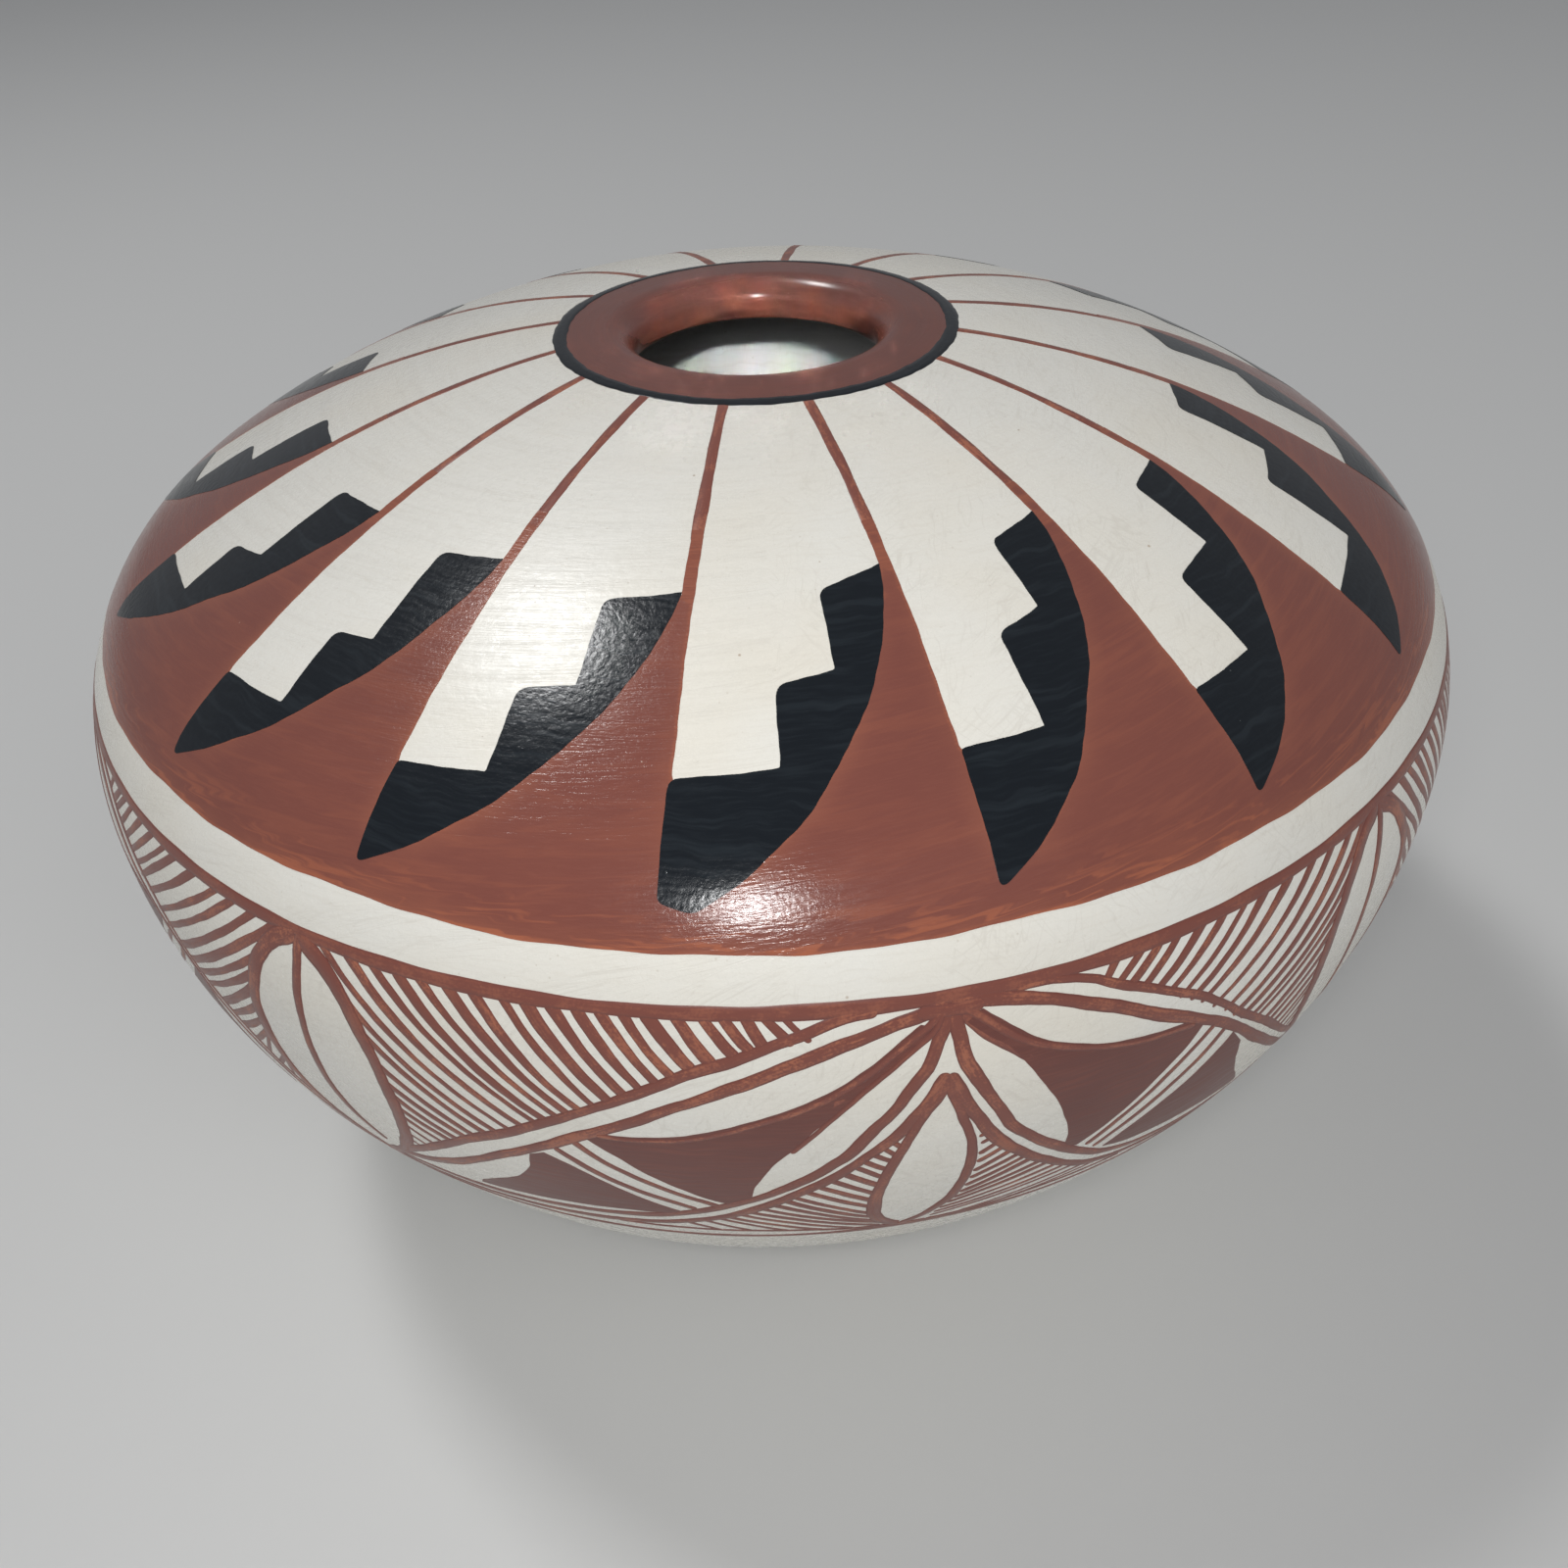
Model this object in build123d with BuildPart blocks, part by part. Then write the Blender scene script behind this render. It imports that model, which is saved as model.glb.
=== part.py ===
from build123d import *
from math import asin, cos, degrees, radians, sin
import os

os.makedirs("parts", exist_ok=True)

# A hand-built pueblo seed jar: one fired clay wall under thin coats of white slip, red slip and black paint.
# Millimetres. The floor is z = 0, the jar's axis is the Z axis, and the front of the jar faces -Y.
# A turn is an angle about the axis, counted from the front towards +X.
# A lean is the heading of the wall as it climbs: 0 on the flat foot, 90 at the widest level,
# near 180 on top, 270 down the throat. A lean names one place on the wall's section.

# The clay wall's outside, as arcs that run into one another, down and up from the widest level
widest_radius = 124.8
lower_belly_radius = 90.0
lower_belly_turn = 28.1
lower_wall_radius = 210.0
lower_wall_turn = 18.3
foot_turn_radius = 20.0
upper_belly_radius = 48.0
upper_belly_turn = 20.5
shoulder_radius = 33.0
shoulder_turn = 37.6
dome_radius = 179.0

# The clay's thickness, the mouth, and the ring that the jar stands on round a shallow dish
wall_thickness = 8.0
throat_radius = 21.5
lip_roll_radius = 4.5
inner_lip_radius = 3.0
foot_ring_width = 16.0
base_dish_depth = 2.0

# The coats. Paint lies on slip, and the edges of each coat stand square to the wall.
slip_thickness = 0.4
paint_thickness = 0.3
throat_slip_angle = 320.0
collar_radius = 35.2
collar_ring_width = 2.5

# The sixteen feathers of the dome, each between one ray and the next: where the rays leave the
# collar, where they end, and how far the painter let the steps of each feather ride out or in
ray_collar_turns = (-76, -54, -31, -9.2, 12.4, 35.3, 57.3, 78.5, 101, 124, 147, 170, 193, 216, 238, 261)
ray_hem_turns = (-72.5, -49.7, -29.1, -8, 13.1, 33.3, 54.8, 79, 102, 125, 148, 172, 195, 218, 241, 264)
step_drift_shares = (0.6, 0.0, 0.3, -1.1, -2.0, -0.6, -0.8, 0.3, -0.6, 0.0, 0.6, -0.8, 0.0, 0.3, -0.3, 0.0)
ray_width = 1.7
step_width_shares = (1.0, 0.65, 0.40, 0.0)
step_slant = 1.8
step_corner_radius = 2.0
step_notch_radius = 0.4
feather_belly_share = 0.69

# How far out the rays end, the three steps stand and the belly swells, as shares of the way from
# the collar to the feather's tip
ray_end_share = 0.409
step_reach_shares = (0.5025, 0.6958, 0.8516)
belly_reach_share = 0.7643

# How much closer to the axis than the widest level the frieze starts, the red field ends above
# the white band, and the feathers end above the red field's hem
frieze_inset = 3.3
white_band_inset = 3.4
feather_tip_inset = 2.7

# The frieze under the white band: the fans and the leaves between them, by turns. Depths run down
# the wall, from the upper edge of the upper border to the lower edge of the lower one.
frieze_depth = 57.5
border_width = 1.7
fan_turns = (9.4, 81, 151, 221, 291)
leaf_turns = (-32.6, 45, 116, 186, 256)
rib_width = 1.7
leaf_half_width = 12.2

# The red fields of half a fan, as shares of the way from the fan's middle to the leaf's, and of
# the frieze's depth: the end, middle and end of each bowed edge, and the ends of each straight one
inner_field_top_shares = ((0.05, 0.10), (0.24, 0.274), (0.512, 0.375))
inner_field_stripe_shares = ((0.512, 0.375), (0.295, 0.695))
inner_field_side_shares = ((0.295, 0.695), (0.215, 0.402), (0.05, 0.10))
outer_field_stripe_shares = ((0.41, 0.765), (0.615, 0.49))
outer_field_side_shares = ((0.615, 0.49), (0.652, 0.66), (0.74, 0.825))
outer_field_floor_shares = ((0.74, 0.825), (0.58, 0.79), (0.41, 0.765))

# Where a leaf begins, is widest and ends in the frieze's depth
leaf_top_share = 0.04
leaf_middle_share = 0.459
leaf_foot_share = 0.84

# A margin that lets every trimming shape run past what it trims
overrun = 5.0


# The wall's section. Each arc has a centre, a radius and the leans where it begins and ends.
def arc_centre(point, lean, radius):
    return point[0] - radius * sin(radians(lean)), point[1] + radius * cos(radians(lean))


def arc_point(centre, radius, lean):
    return centre[0] + radius * sin(radians(lean)), centre[1] - radius * cos(radians(lean))


def lean_on_arc(centre, radius, reach):
    return 180 - degrees(asin((reach - centre[0]) / radius))


belly_foot_lean = 90 - lower_belly_turn
foot_lean = belly_foot_lean - lower_wall_turn
shoulder_lean = 90 + upper_belly_turn
dome_lean = shoulder_lean + shoulder_turn

# Downwards from the widest level, whose height above the floor comes from the arcs below it
lower_belly = arc_centre((widest_radius, 0), 90, lower_belly_radius)
belly_foot = arc_point(lower_belly, lower_belly_radius, belly_foot_lean)
lower_wall = arc_centre(belly_foot, belly_foot_lean, lower_wall_radius)
wall_foot = arc_point(lower_wall, lower_wall_radius, foot_lean)
foot_turn = arc_centre(wall_foot, foot_lean, foot_turn_radius)
widest_height = foot_turn_radius - foot_turn[1]

# Upwards from the widest level to the dome
upper_belly = arc_centre((widest_radius, 0), 90, upper_belly_radius)
belly_top = arc_point(upper_belly, upper_belly_radius, shoulder_lean)
shoulder = arc_centre(belly_top, shoulder_lean, shoulder_radius)
shoulder_top = arc_point(shoulder, shoulder_radius, dome_lean)
dome = arc_centre(shoulder_top, dome_lean, dome_radius)

# The lip rolls off the dome into the throat, and a smaller roll leads on to the dome's underside
lip_reach = dome_radius - lip_roll_radius
lip_lean = lean_on_arc(dome, lip_reach, throat_radius + lip_roll_radius)
lip_roll = arc_point(dome, lip_reach, lip_lean)
inner_lip_reach = dome_radius - wall_thickness + inner_lip_radius
underside_lean = lean_on_arc(dome, inner_lip_reach, throat_radius + inner_lip_radius)
inner_lip = arc_point(dome, inner_lip_reach, underside_lean)

upper_arcs = (
    (upper_belly, upper_belly_radius, 90, shoulder_lean),
    (shoulder, shoulder_radius, shoulder_lean, dome_lean),
    (dome, dome_radius, dome_lean, lip_lean),
)
wall_arcs = (
    (foot_turn, foot_turn_radius, 0, foot_lean),
    (lower_wall, lower_wall_radius, foot_lean, belly_foot_lean),
    (lower_belly, lower_belly_radius, belly_foot_lean, 90),
    *upper_arcs,
    (lip_roll, lip_roll_radius, lip_lean, 270),
    (inner_lip, inner_lip_radius, 270, underside_lean + 180),
)
inside_arcs = (*wall_arcs[:5], (dome, dome_radius, dome_lean, underside_lean))


def raised(point):
    return point[0], point[1] + widest_height


def wall_point(lean, lift):
    for centre, radius, first, last in wall_arcs:
        if first <= lean <= last:
            return raised(arc_point(centre, radius + lift, lean))


def wall_line(low_lean, high_lean, lift, arcs=wall_arcs):
    with BuildLine() as line:
        for centre, radius, first, last in arcs:
            start = max(first, low_lean)
            stop = min(last, high_lean)
            if start < stop:
                CenterArc(raised(centre), radius + lift, start - 90, stop - start)
        if high_lean > 270:
            Line(raised(arc_point(lip_roll, lip_roll_radius + lift, 270)),
                 raised(arc_point(inner_lip, inner_lip_radius + lift, 270)))
    return line.edges()


# A coat lies between two lifts off the clay, and ends square to the wall at two leans
def coat_section(low_lean, high_lean, bottom, top):
    with BuildLine() as ends:
        Line(wall_point(low_lean, bottom), wall_point(low_lean, top))
        Line(wall_point(high_lean, bottom), wall_point(high_lean, top))
    make_face(wall_line(low_lean, high_lean, bottom) + wall_line(low_lean, high_lean, top) + ends.edges())


def lean_at_radius(reach):
    for centre, radius, first, last in upper_arcs:
        if arc_point(centre, radius, last)[0] <= reach <= arc_point(centre, radius, first)[0]:
            return lean_on_arc(centre, radius, reach)


def lean_below(lean, depth):
    for centre, radius, first, last in reversed(wall_arcs):
        if first < lean <= last:
            if depth <= radius * radians(lean - first):
                return lean - degrees(depth / radius)
            depth -= radius * radians(lean - first)
            lean = first


# Places on the wall that the coats share
def share_of_reach(share):
    return collar_radius + (feather_tip_radius - collar_radius) * share


frieze_top_radius = widest_radius - frieze_inset
red_field_radius = frieze_top_radius - white_band_inset
feather_tip_radius = red_field_radius - feather_tip_inset
ray_end_radius = share_of_reach(ray_end_share)
base_dish_radius = foot_turn[0] - foot_ring_width
paint_top = slip_thickness + paint_thickness
collar_lean = lean_at_radius(collar_radius)
ring_lean = lean_at_radius(collar_radius - collar_ring_width)
slip_top_lean = lean_at_radius(collar_radius - collar_ring_width / 2)
red_field_lean = lean_at_radius(red_field_radius)
frieze_top_lean = lean_at_radius(frieze_top_radius)
upper_border_lean = lean_below(frieze_top_lean, border_width)
lower_border_lean = lean_below(frieze_top_lean, frieze_depth - border_width)
frieze_foot_lean = lean_below(frieze_top_lean, frieze_depth)

# The clay: wall, floor, lip and throat in one, with a shallow dish in the base
with BuildPart() as clay_body:
    with BuildSketch(Plane.XZ):
        with BuildLine() as base:
            Line((0, base_dish_depth), (0, wall_thickness))
            Line((0, wall_thickness), wall_point(0, -wall_thickness))
            Line(wall_point(0, 0), (base_dish_radius, 0))
            dish = ThreePointArc(
                (base_dish_radius, 0), (0, base_dish_depth), (-base_dish_radius, 0), mode=Mode.PRIVATE)
            add(dish.trim(0, 0.5))
        outside = wall_line(0, underside_lean + 180, 0)
        inside = wall_line(0, underside_lean, -wall_thickness, inside_arcs)
        make_face(outside + inside + base.edges())
    revolve(axis=Axis.Z)

# The ivory slip over the outside, which stops short of the foot
with BuildPart() as white_slip_coat:
    with BuildSketch(Plane.XZ):
        coat_section(foot_lean, slip_top_lean, 0, slip_thickness)
    revolve(axis=Axis.Z)

# The red slip on the collar, over the lip and down the throat
with BuildPart() as red_collar_slip:
    with BuildSketch(Plane.XZ):
        coat_section(slip_top_lean, throat_slip_angle, 0, slip_thickness)
    revolve(axis=Axis.Z)

# The black ring, painted where the two slips meet
with BuildPart() as black_collar_ring:
    with BuildSketch(Plane.XZ):
        coat_section(collar_lean, ring_lean, slip_thickness, paint_top)
    revolve(axis=Axis.Z)

# The red lines above and below the frieze
with BuildPart() as red_frieze_borders:
    with BuildSketch(Plane.XZ):
        coat_section(upper_border_lean, frieze_top_lean, slip_thickness, paint_top)
        coat_section(frieze_foot_lean, lower_border_lean, slip_thickness, paint_top)
    revolve(axis=Axis.Z)


# The dome's pattern is drawn as seen from above, then kept only where its paint lies
def seen_from_above(turn, radius):
    return Vector(radius * sin(radians(turn)), -radius * cos(radians(turn)))


# The left edge of a feather is the right edge of one ray, and its right edge is the next ray's left
def feather_edge(ray, side, radius):
    full_turn = 360 * (ray // len(ray_collar_turns))
    ray %= len(ray_collar_turns)
    start_turn = ray_collar_turns[ray] + full_turn + side * degrees(ray_width / 2 / collar_radius)
    end_turn = ray_hem_turns[ray] + full_turn + side * degrees(ray_width / 2 / feather_tip_radius)
    start = seen_from_above(start_turn, collar_radius)
    end = seen_from_above(end_turn, feather_tip_radius)
    return start + (end - start) * ((radius - collar_radius) / (feather_tip_radius - collar_radius))


def on_feather(feather, share, radius):
    left = feather_edge(feather, 1, radius)
    right = feather_edge(feather + 1, -1, radius)
    return left + (right - left) * share


def step_drift(feather):
    return step_drift_shares[feather] * step_slant


# The stair runs from the feather's right edge out and down to its left edge
def stair_points(feather):
    points = []
    for reach_share, inner_share, outer_share in zip(
            step_reach_shares, step_width_shares, step_width_shares[1:]):
        radius = share_of_reach(reach_share) + step_drift(feather)
        points.append(on_feather(feather, inner_share, radius))
        points.append(on_feather(feather, outer_share, radius + step_slant))
    return points


def belly_points(feather):
    return (
        on_feather(feather, 0, feather_tip_radius),
        on_feather(feather, feather_belly_share, share_of_reach(belly_reach_share) + step_drift(feather)),
        stair_points(feather)[0],
    )


def stepped_tip(feather):
    corner_radii = [step_corner_radius, step_notch_radius] * 2 + [step_corner_radius]
    with BuildLine() as outline:
        FilletPolyline(*stair_points(feather), belly_points(feather)[0], radius=corner_radii)
        ThreePointArc(*belly_points(feather))
    make_face(outline.edges())


# A whole feather, ivory blade and stepped tip together, starts inside the collar
def feather_blade(feather, mode):
    start_radius = collar_radius - overrun
    with BuildLine() as outline:
        ThreePointArc(*belly_points(feather))
        Polyline(stair_points(feather)[0], on_feather(feather, 1, start_radius),
                 on_feather(feather, 0, start_radius), belly_points(feather)[0])
    make_face(outline.edges(), mode=mode)


with BuildPart() as black_feather_steps:
    with BuildSketch(Plane.XY.offset(widest_height)):
        for feather in range(len(ray_collar_turns)):
            stepped_tip(feather)
    extrude(amount=widest_height)
    with BuildSketch(Plane.XZ):
        coat_section(red_field_lean, collar_lean, slip_thickness, paint_top)
    revolve(axis=Axis.Z, mode=Mode.INTERSECT)

# The rays are what is left between the blades near the collar
with BuildPart() as red_feather_rays:
    with BuildSketch(Plane.XY.offset(widest_height)):
        Circle(ray_end_radius)
        Circle(collar_radius - overrun, mode=Mode.SUBTRACT)
        for feather in range(len(ray_collar_turns)):
            feather_blade(feather, Mode.SUBTRACT)
    extrude(amount=widest_height)
    with BuildSketch(Plane.XZ):
        coat_section(red_field_lean, collar_lean, slip_thickness, paint_top)
    revolve(axis=Axis.Z, mode=Mode.INTERSECT)

# The red shoulder is what is left between and below the feathers further out
with BuildPart() as red_shoulder_field:
    with BuildSketch(Plane.XY.offset(widest_height)):
        Circle(widest_radius)
        Circle(ray_end_radius, mode=Mode.SUBTRACT)
        for feather in range(len(ray_collar_turns)):
            feather_blade(feather, Mode.SUBTRACT)
    extrude(amount=widest_height)
    with BuildSketch(Plane.XZ):
        coat_section(red_field_lean, collar_lean, slip_thickness, paint_top)
    revolve(axis=Axis.Z, mode=Mode.INTERSECT)


# The frieze is drawn on upright panels through the axis, each seen from in front of its own fan or
# leaf, and kept only where its paint lies on the wall
def upright_panel(turn):
    across = (cos(radians(turn)), sin(radians(turn)), 0)
    outward = (sin(radians(turn)), -cos(radians(turn)), 0)
    return Plane(origin=(0, 0, 0), x_dir=across, z_dir=outward)


def on_panel(turn, depth_share):
    radius, height = wall_point(lean_below(frieze_top_lean, depth_share * frieze_depth), slip_thickness)
    return radius * sin(radians(turn)), height


def on_fan(half_turn, shares):
    return [on_panel(share * half_turn, depth_share) for share, depth_share in shares]


# A leaf is two bowed brush lines that meet at its ends, and a straight midrib between them
def draw_leaf():
    for outer, half_width in ((True, leaf_half_width), (False, leaf_half_width - rib_width)):
        inset = 0 if outer else rib_width / frieze_depth
        top = on_panel(0, leaf_top_share + inset)
        foot = on_panel(0, leaf_foot_share - inset)
        side_turn = degrees(half_width / widest_radius)
        with BuildLine() as outline:
            ThreePointArc(top, on_panel(side_turn, leaf_middle_share), foot)
            ThreePointArc(top, on_panel(-side_turn, leaf_middle_share), foot)
        make_face(outline.edges(), mode=Mode.ADD if outer else Mode.SUBTRACT)
    top = on_panel(0, leaf_top_share)
    foot = on_panel(0, leaf_foot_share)
    with Locations((0, (top[1] + foot[1]) / 2)):
        Rectangle(rib_width, top[1] - foot[1] - rib_width)


# Each side of a fan has an inner red field between its petals and an outer one beyond the stripes
def draw_fan_fields(half_turns):
    for half_turn in half_turns:
        with BuildLine() as inner_field:
            ThreePointArc(*on_fan(half_turn, inner_field_top_shares))
            Line(*on_fan(half_turn, inner_field_stripe_shares))
            ThreePointArc(*on_fan(half_turn, inner_field_side_shares))
        make_face(inner_field.edges())
        with BuildLine() as outer_field:
            ThreePointArc(*on_fan(half_turn, outer_field_side_shares))
            ThreePointArc(*on_fan(half_turn, outer_field_floor_shares))
            Line(*on_fan(half_turn, outer_field_stripe_shares))
        make_face(outer_field.edges())


def painted_panel(turn, draw, *drawing_turns):
    with BuildPart() as panel:
        with BuildSketch(upright_panel(turn)):
            draw(*drawing_turns)
        extrude(amount=widest_radius + overrun)
        with BuildSketch(Plane.XZ):
            coat_section(lower_border_lean, upper_border_lean, slip_thickness, paint_top)
        revolve(axis=Axis.Z, mode=Mode.INTERSECT)
    return panel.part


with BuildPart() as red_leaf_outlines:
    for leaf_turn in leaf_turns:
        add(painted_panel(leaf_turn, draw_leaf))

with BuildPart() as red_fan_fields:
    next_leaf_turns = (*leaf_turns[1:], leaf_turns[0] + 360)
    for left_leaf_turn, fan_turn, right_leaf_turn in zip(leaf_turns, fan_turns, next_leaf_turns):
        half_turns = (left_leaf_turn - fan_turn, right_leaf_turn - fan_turn)
        add(painted_panel(fan_turn, draw_fan_fields, half_turns))

pieces = {
    "clay_body": clay_body,
    "white_slip_coat": white_slip_coat,
    "red_collar_slip": red_collar_slip,
    "black_collar_ring": black_collar_ring,
    "red_frieze_borders": red_frieze_borders,
    "black_feather_steps": black_feather_steps,
    "red_feather_rays": red_feather_rays,
    "red_shoulder_field": red_shoulder_field,
    "red_leaf_outlines": red_leaf_outlines,
    "red_fan_fields": red_fan_fields,
}
for name, piece in pieces.items():
    piece.part.label = name
    export_step(piece.part, f"parts/{name}.step")
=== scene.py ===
# %% [markdown]
# # A hand-painted pueblo seed jar
# The jar is one wide, low, nearly closed body of fired clay. Ivory slip covers its outside, polished
# red slip covers the collar round the small mouth, and red and black paint make two patterns:
# sixteen stepped feathers on the dome, and a frieze of fans and leaves round the belly.
# The imported solids are the frame: they set every size, and each piece here stands for one of them
# or lies on one of them. The coats are built again as fine meshes, because on the solids they are
# plain bands, and on the real jar every edge was drawn by hand with a brush.

# %% Open the frame
import math

import bpy
import numpy as np
from mathutils import Matrix, Vector, geometry, kdtree


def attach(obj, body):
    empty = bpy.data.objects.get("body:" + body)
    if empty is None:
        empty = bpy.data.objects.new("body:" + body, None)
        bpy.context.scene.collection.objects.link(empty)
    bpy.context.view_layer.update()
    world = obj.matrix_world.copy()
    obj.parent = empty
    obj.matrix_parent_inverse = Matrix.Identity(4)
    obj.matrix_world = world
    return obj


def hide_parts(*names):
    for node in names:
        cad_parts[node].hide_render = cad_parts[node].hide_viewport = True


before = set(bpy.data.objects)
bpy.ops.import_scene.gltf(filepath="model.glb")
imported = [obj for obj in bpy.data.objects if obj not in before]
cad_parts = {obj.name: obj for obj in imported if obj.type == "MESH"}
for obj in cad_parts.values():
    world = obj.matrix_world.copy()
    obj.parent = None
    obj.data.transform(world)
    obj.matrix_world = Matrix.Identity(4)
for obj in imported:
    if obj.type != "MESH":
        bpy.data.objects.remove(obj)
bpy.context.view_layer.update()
print("nodes:", sorted(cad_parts))

# %% [markdown]
# ## The camera
# The photograph was taken about 30 cm from the jar's middle, looking down on it. The place, the
# tilt and the lens come from matching the collar, the outline and the white band to it. A camera
# is placed by a matrix whose columns are its right, its up and its back.

# %% Place the camera
MM = 0.001
camera_data = bpy.data.cameras.new("camera")
camera_data.lens = 31.916
camera_data.sensor_width = 36.0
camera = bpy.data.objects.new("camera", camera_data)
bpy.context.scene.collection.objects.link(camera)
bpy.context.scene.camera = camera
camera_right = Vector((0.99886735, -0.03270796, -0.0345573))
camera_up = Vector((0.04735785, 0.6130331, 0.78863658))
camera_ahead = Vector((0.00460992, 0.78937989, -0.61388772))
camera_place = Vector((0.0, -240.59, 245.74)) * MM
camera.matrix_world = Matrix([
    (camera_right[i], camera_up[i], -camera_ahead[i], camera_place[i]) for i in range(3)] + [(0, 0, 0, 1)])
print("camera at", list(camera_place), "lens", camera_data.lens)

# %% [markdown]
# ## The line of the wall
# A potter coils the wall up and scrapes it to an even curve. Its section is a chain of arcs that
# run into one another, so any place on the jar is named by two numbers: the turn about the axis,
# counted from the front, and the run down the wall in millimetres, counted from the collar's edge.
# A drawing in turns and runs then wraps round the jar without stretching, as the painter's does.

# %% Chain the arcs of the wall
widest_radius = 124.8
below_widest = ((90.0, 28.1), (210.0, 18.3))        # radius and sweep of each arc, going down
foot_turn_radius = 20.0
above_widest = ((48.0, 20.5), (33.0, 37.6))         # the same, going up
dome_radius = 179.0
throat_radius = 21.5
lip_roll_radius = 4.5
inner_lip_radius = 3.0
wall_thickness = 8.0
slip_top = 0.4
collar_radius = 35.2
sample_step = 0.1


def arc_middle(point, lean, radius):
    return point[0] - radius * math.sin(math.radians(lean)), point[1] + radius * math.cos(math.radians(lean))


def on_arc(middle, radius, lean):
    return middle[0] + radius * np.sin(np.radians(lean)), middle[1] - radius * np.cos(np.radians(lean))


def chain(arcs, way):
    """The middle, radius and two leans of each arc, walking up (1) or down (-1) from the widest level."""
    point, lean, found = (widest_radius, 0.0), 90.0, []
    for radius, sweep in arcs:
        middle = arc_middle(point, lean, radius)
        found.append((middle, radius, lean, lean + way * sweep))
        lean += way * sweep
        point = on_arc(middle, radius, lean)
    return found, point, lean


lower_arcs, wall_foot, foot_lean = chain(below_widest, -1)
upper_arcs, dome_edge, dome_lean = chain(above_widest, 1)
foot_middle = arc_middle(wall_foot, foot_lean, foot_turn_radius)
widest_height = foot_turn_radius - foot_middle[1]
dome_middle = arc_middle(dome_edge, dome_lean, dome_radius)
print("widest level", round(widest_height, 2), "mm above the floor")

# %% Roll the lip over into the throat, and sample the whole line


def lean_at(middle, reach, radius):
    return 180 - math.degrees(math.asin((radius - middle[0]) / reach))


lip_reach = dome_radius - lip_roll_radius
lip_lean = lean_at(dome_middle, lip_reach, throat_radius + lip_roll_radius)
lip_middle = on_arc(dome_middle, lip_reach, lip_lean)
inner_reach = dome_radius - wall_thickness + inner_lip_radius
under_lean = lean_at(dome_middle, inner_reach, throat_radius + inner_lip_radius)
inner_lip_middle = on_arc(dome_middle, inner_reach, under_lean)


def sweep(middle, radius, first, last):
    """Points along one arc, with the wall's outward direction at each."""
    count = max(3, int(abs(last - first) * math.pi / 180 * radius / sample_step))
    leans = np.linspace(first, last, count)
    across, height = on_arc(middle, radius, leans)
    return np.stack([across, height + widest_height, np.sin(np.radians(leans)), -np.cos(np.radians(leans))], 1)


def straight(start, end, out):
    count = max(3, int(math.hypot(end[0] - start[0], end[1] - start[1]) / sample_step))
    share = np.linspace(0, 1, count)[:, None]
    both = np.array(start) * (1 - share) + np.array(end) * share
    return np.hstack([both, np.tile(out, (count, 1))])


throat_low = (throat_radius, inner_lip_middle[1] + widest_height)
throat_high = (throat_radius, lip_middle[1] + widest_height)
foot_flat_radius = foot_middle[0]
line = np.vstack([
    sweep(inner_lip_middle, inner_lip_radius, under_lean + 180, 270),
    straight(throat_low, throat_high, (-1.0, 0.0)),
    sweep(lip_middle, lip_roll_radius, 270, lip_lean),
    sweep(dome_middle, dome_radius, lip_lean, dome_lean),
    *[sweep(middle, radius, last, first) for middle, radius, first, last in reversed(upper_arcs)],
    *[sweep(*arc) for arc in lower_arcs],
    sweep(foot_middle, foot_turn_radius, foot_lean, 0)])
steps_along = np.hypot(*np.diff(line[:, :2], axis=0).T)
keep = np.append(True, steps_along > 1e-6)
line = line[keep]
runs = np.append(0, np.cumsum(np.hypot(*np.diff(line[:, :2], axis=0).T)))
on_the_dome = (line[:, 3] > 0.9) & (line[:, 0] > 30)
collar_run = np.interp(collar_radius, line[on_the_dome, 0], runs[on_the_dome])
runs -= collar_run


def run_at_radius(radius):
    """The run where the upper wall reaches this radius."""
    upper = (runs > -10) & (line[:, 1] > widest_height)
    return float(np.interp(radius, line[upper, 0], runs[upper]))


def run_at_lean(lean):
    """The run where the lower wall has this lean."""
    leans = np.degrees(np.arctan2(line[:, 2], -line[:, 3]))
    lower = runs > 60
    return float(np.interp(lean, leans[lower][::-1], runs[lower][::-1]))


slip_foot_run = run_at_lean(foot_lean)
print("runs from", round(runs[0], 1), "to", round(runs[-1], 1), "slip ends at", round(slip_foot_run, 1))

# %% [markdown]
# ## The hand in the wall
# A scraped and stone-polished wall is never a perfect turned shape: it is a few tenths of a
# millimetre uneven, which the eye reads in the way a highlight bends. Every coat follows the same
# unevenness, so it is one function of turn and run, and it only ever takes away, so that nothing
# grows past the solids. It fades out at the foot, which stands flat.

# %% Give the wall its slight unevenness
hand_depth = 0.16
foot_fade = 60.0


def hand_give(turn, run):
    """How far the wall falls short of its drawn line, in millimetres."""
    t = np.radians(turn)
    waves = (0.5 * np.sin(2 * t + 0.8) * np.cos(run / 45 + 0.4) + 0.3 * np.sin(3 * t - 1.1 + run / 38)
             + 0.16 * np.sin(5 * t + 2.0 - run / 25) + 0.05 * np.sin(11 * t + run / 9))
    fade = np.clip((runs[-1] - run) / foot_fade, 0, 1)
    return hand_depth * (1 + waves) * fade


def line_at(run):
    return tuple(np.interp(run, runs, line[:, i]) for i in range(4))


def place(turn, run, lift):
    """Points in metres, lift millimetres off the clay."""
    radius, height, out_across, out_up = line_at(run)
    lift = lift - hand_give(turn, run)
    radius, height, t = radius + lift * out_across, height + lift * out_up, np.radians(turn)
    return np.stack([radius * np.sin(t), -radius * np.cos(t), height], -1) * MM


def unit(vectors):
    """The same directions, each one long."""
    return vectors / np.maximum(np.linalg.norm(vectors, axis=-1, keepdims=True), 1e-12)


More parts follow.
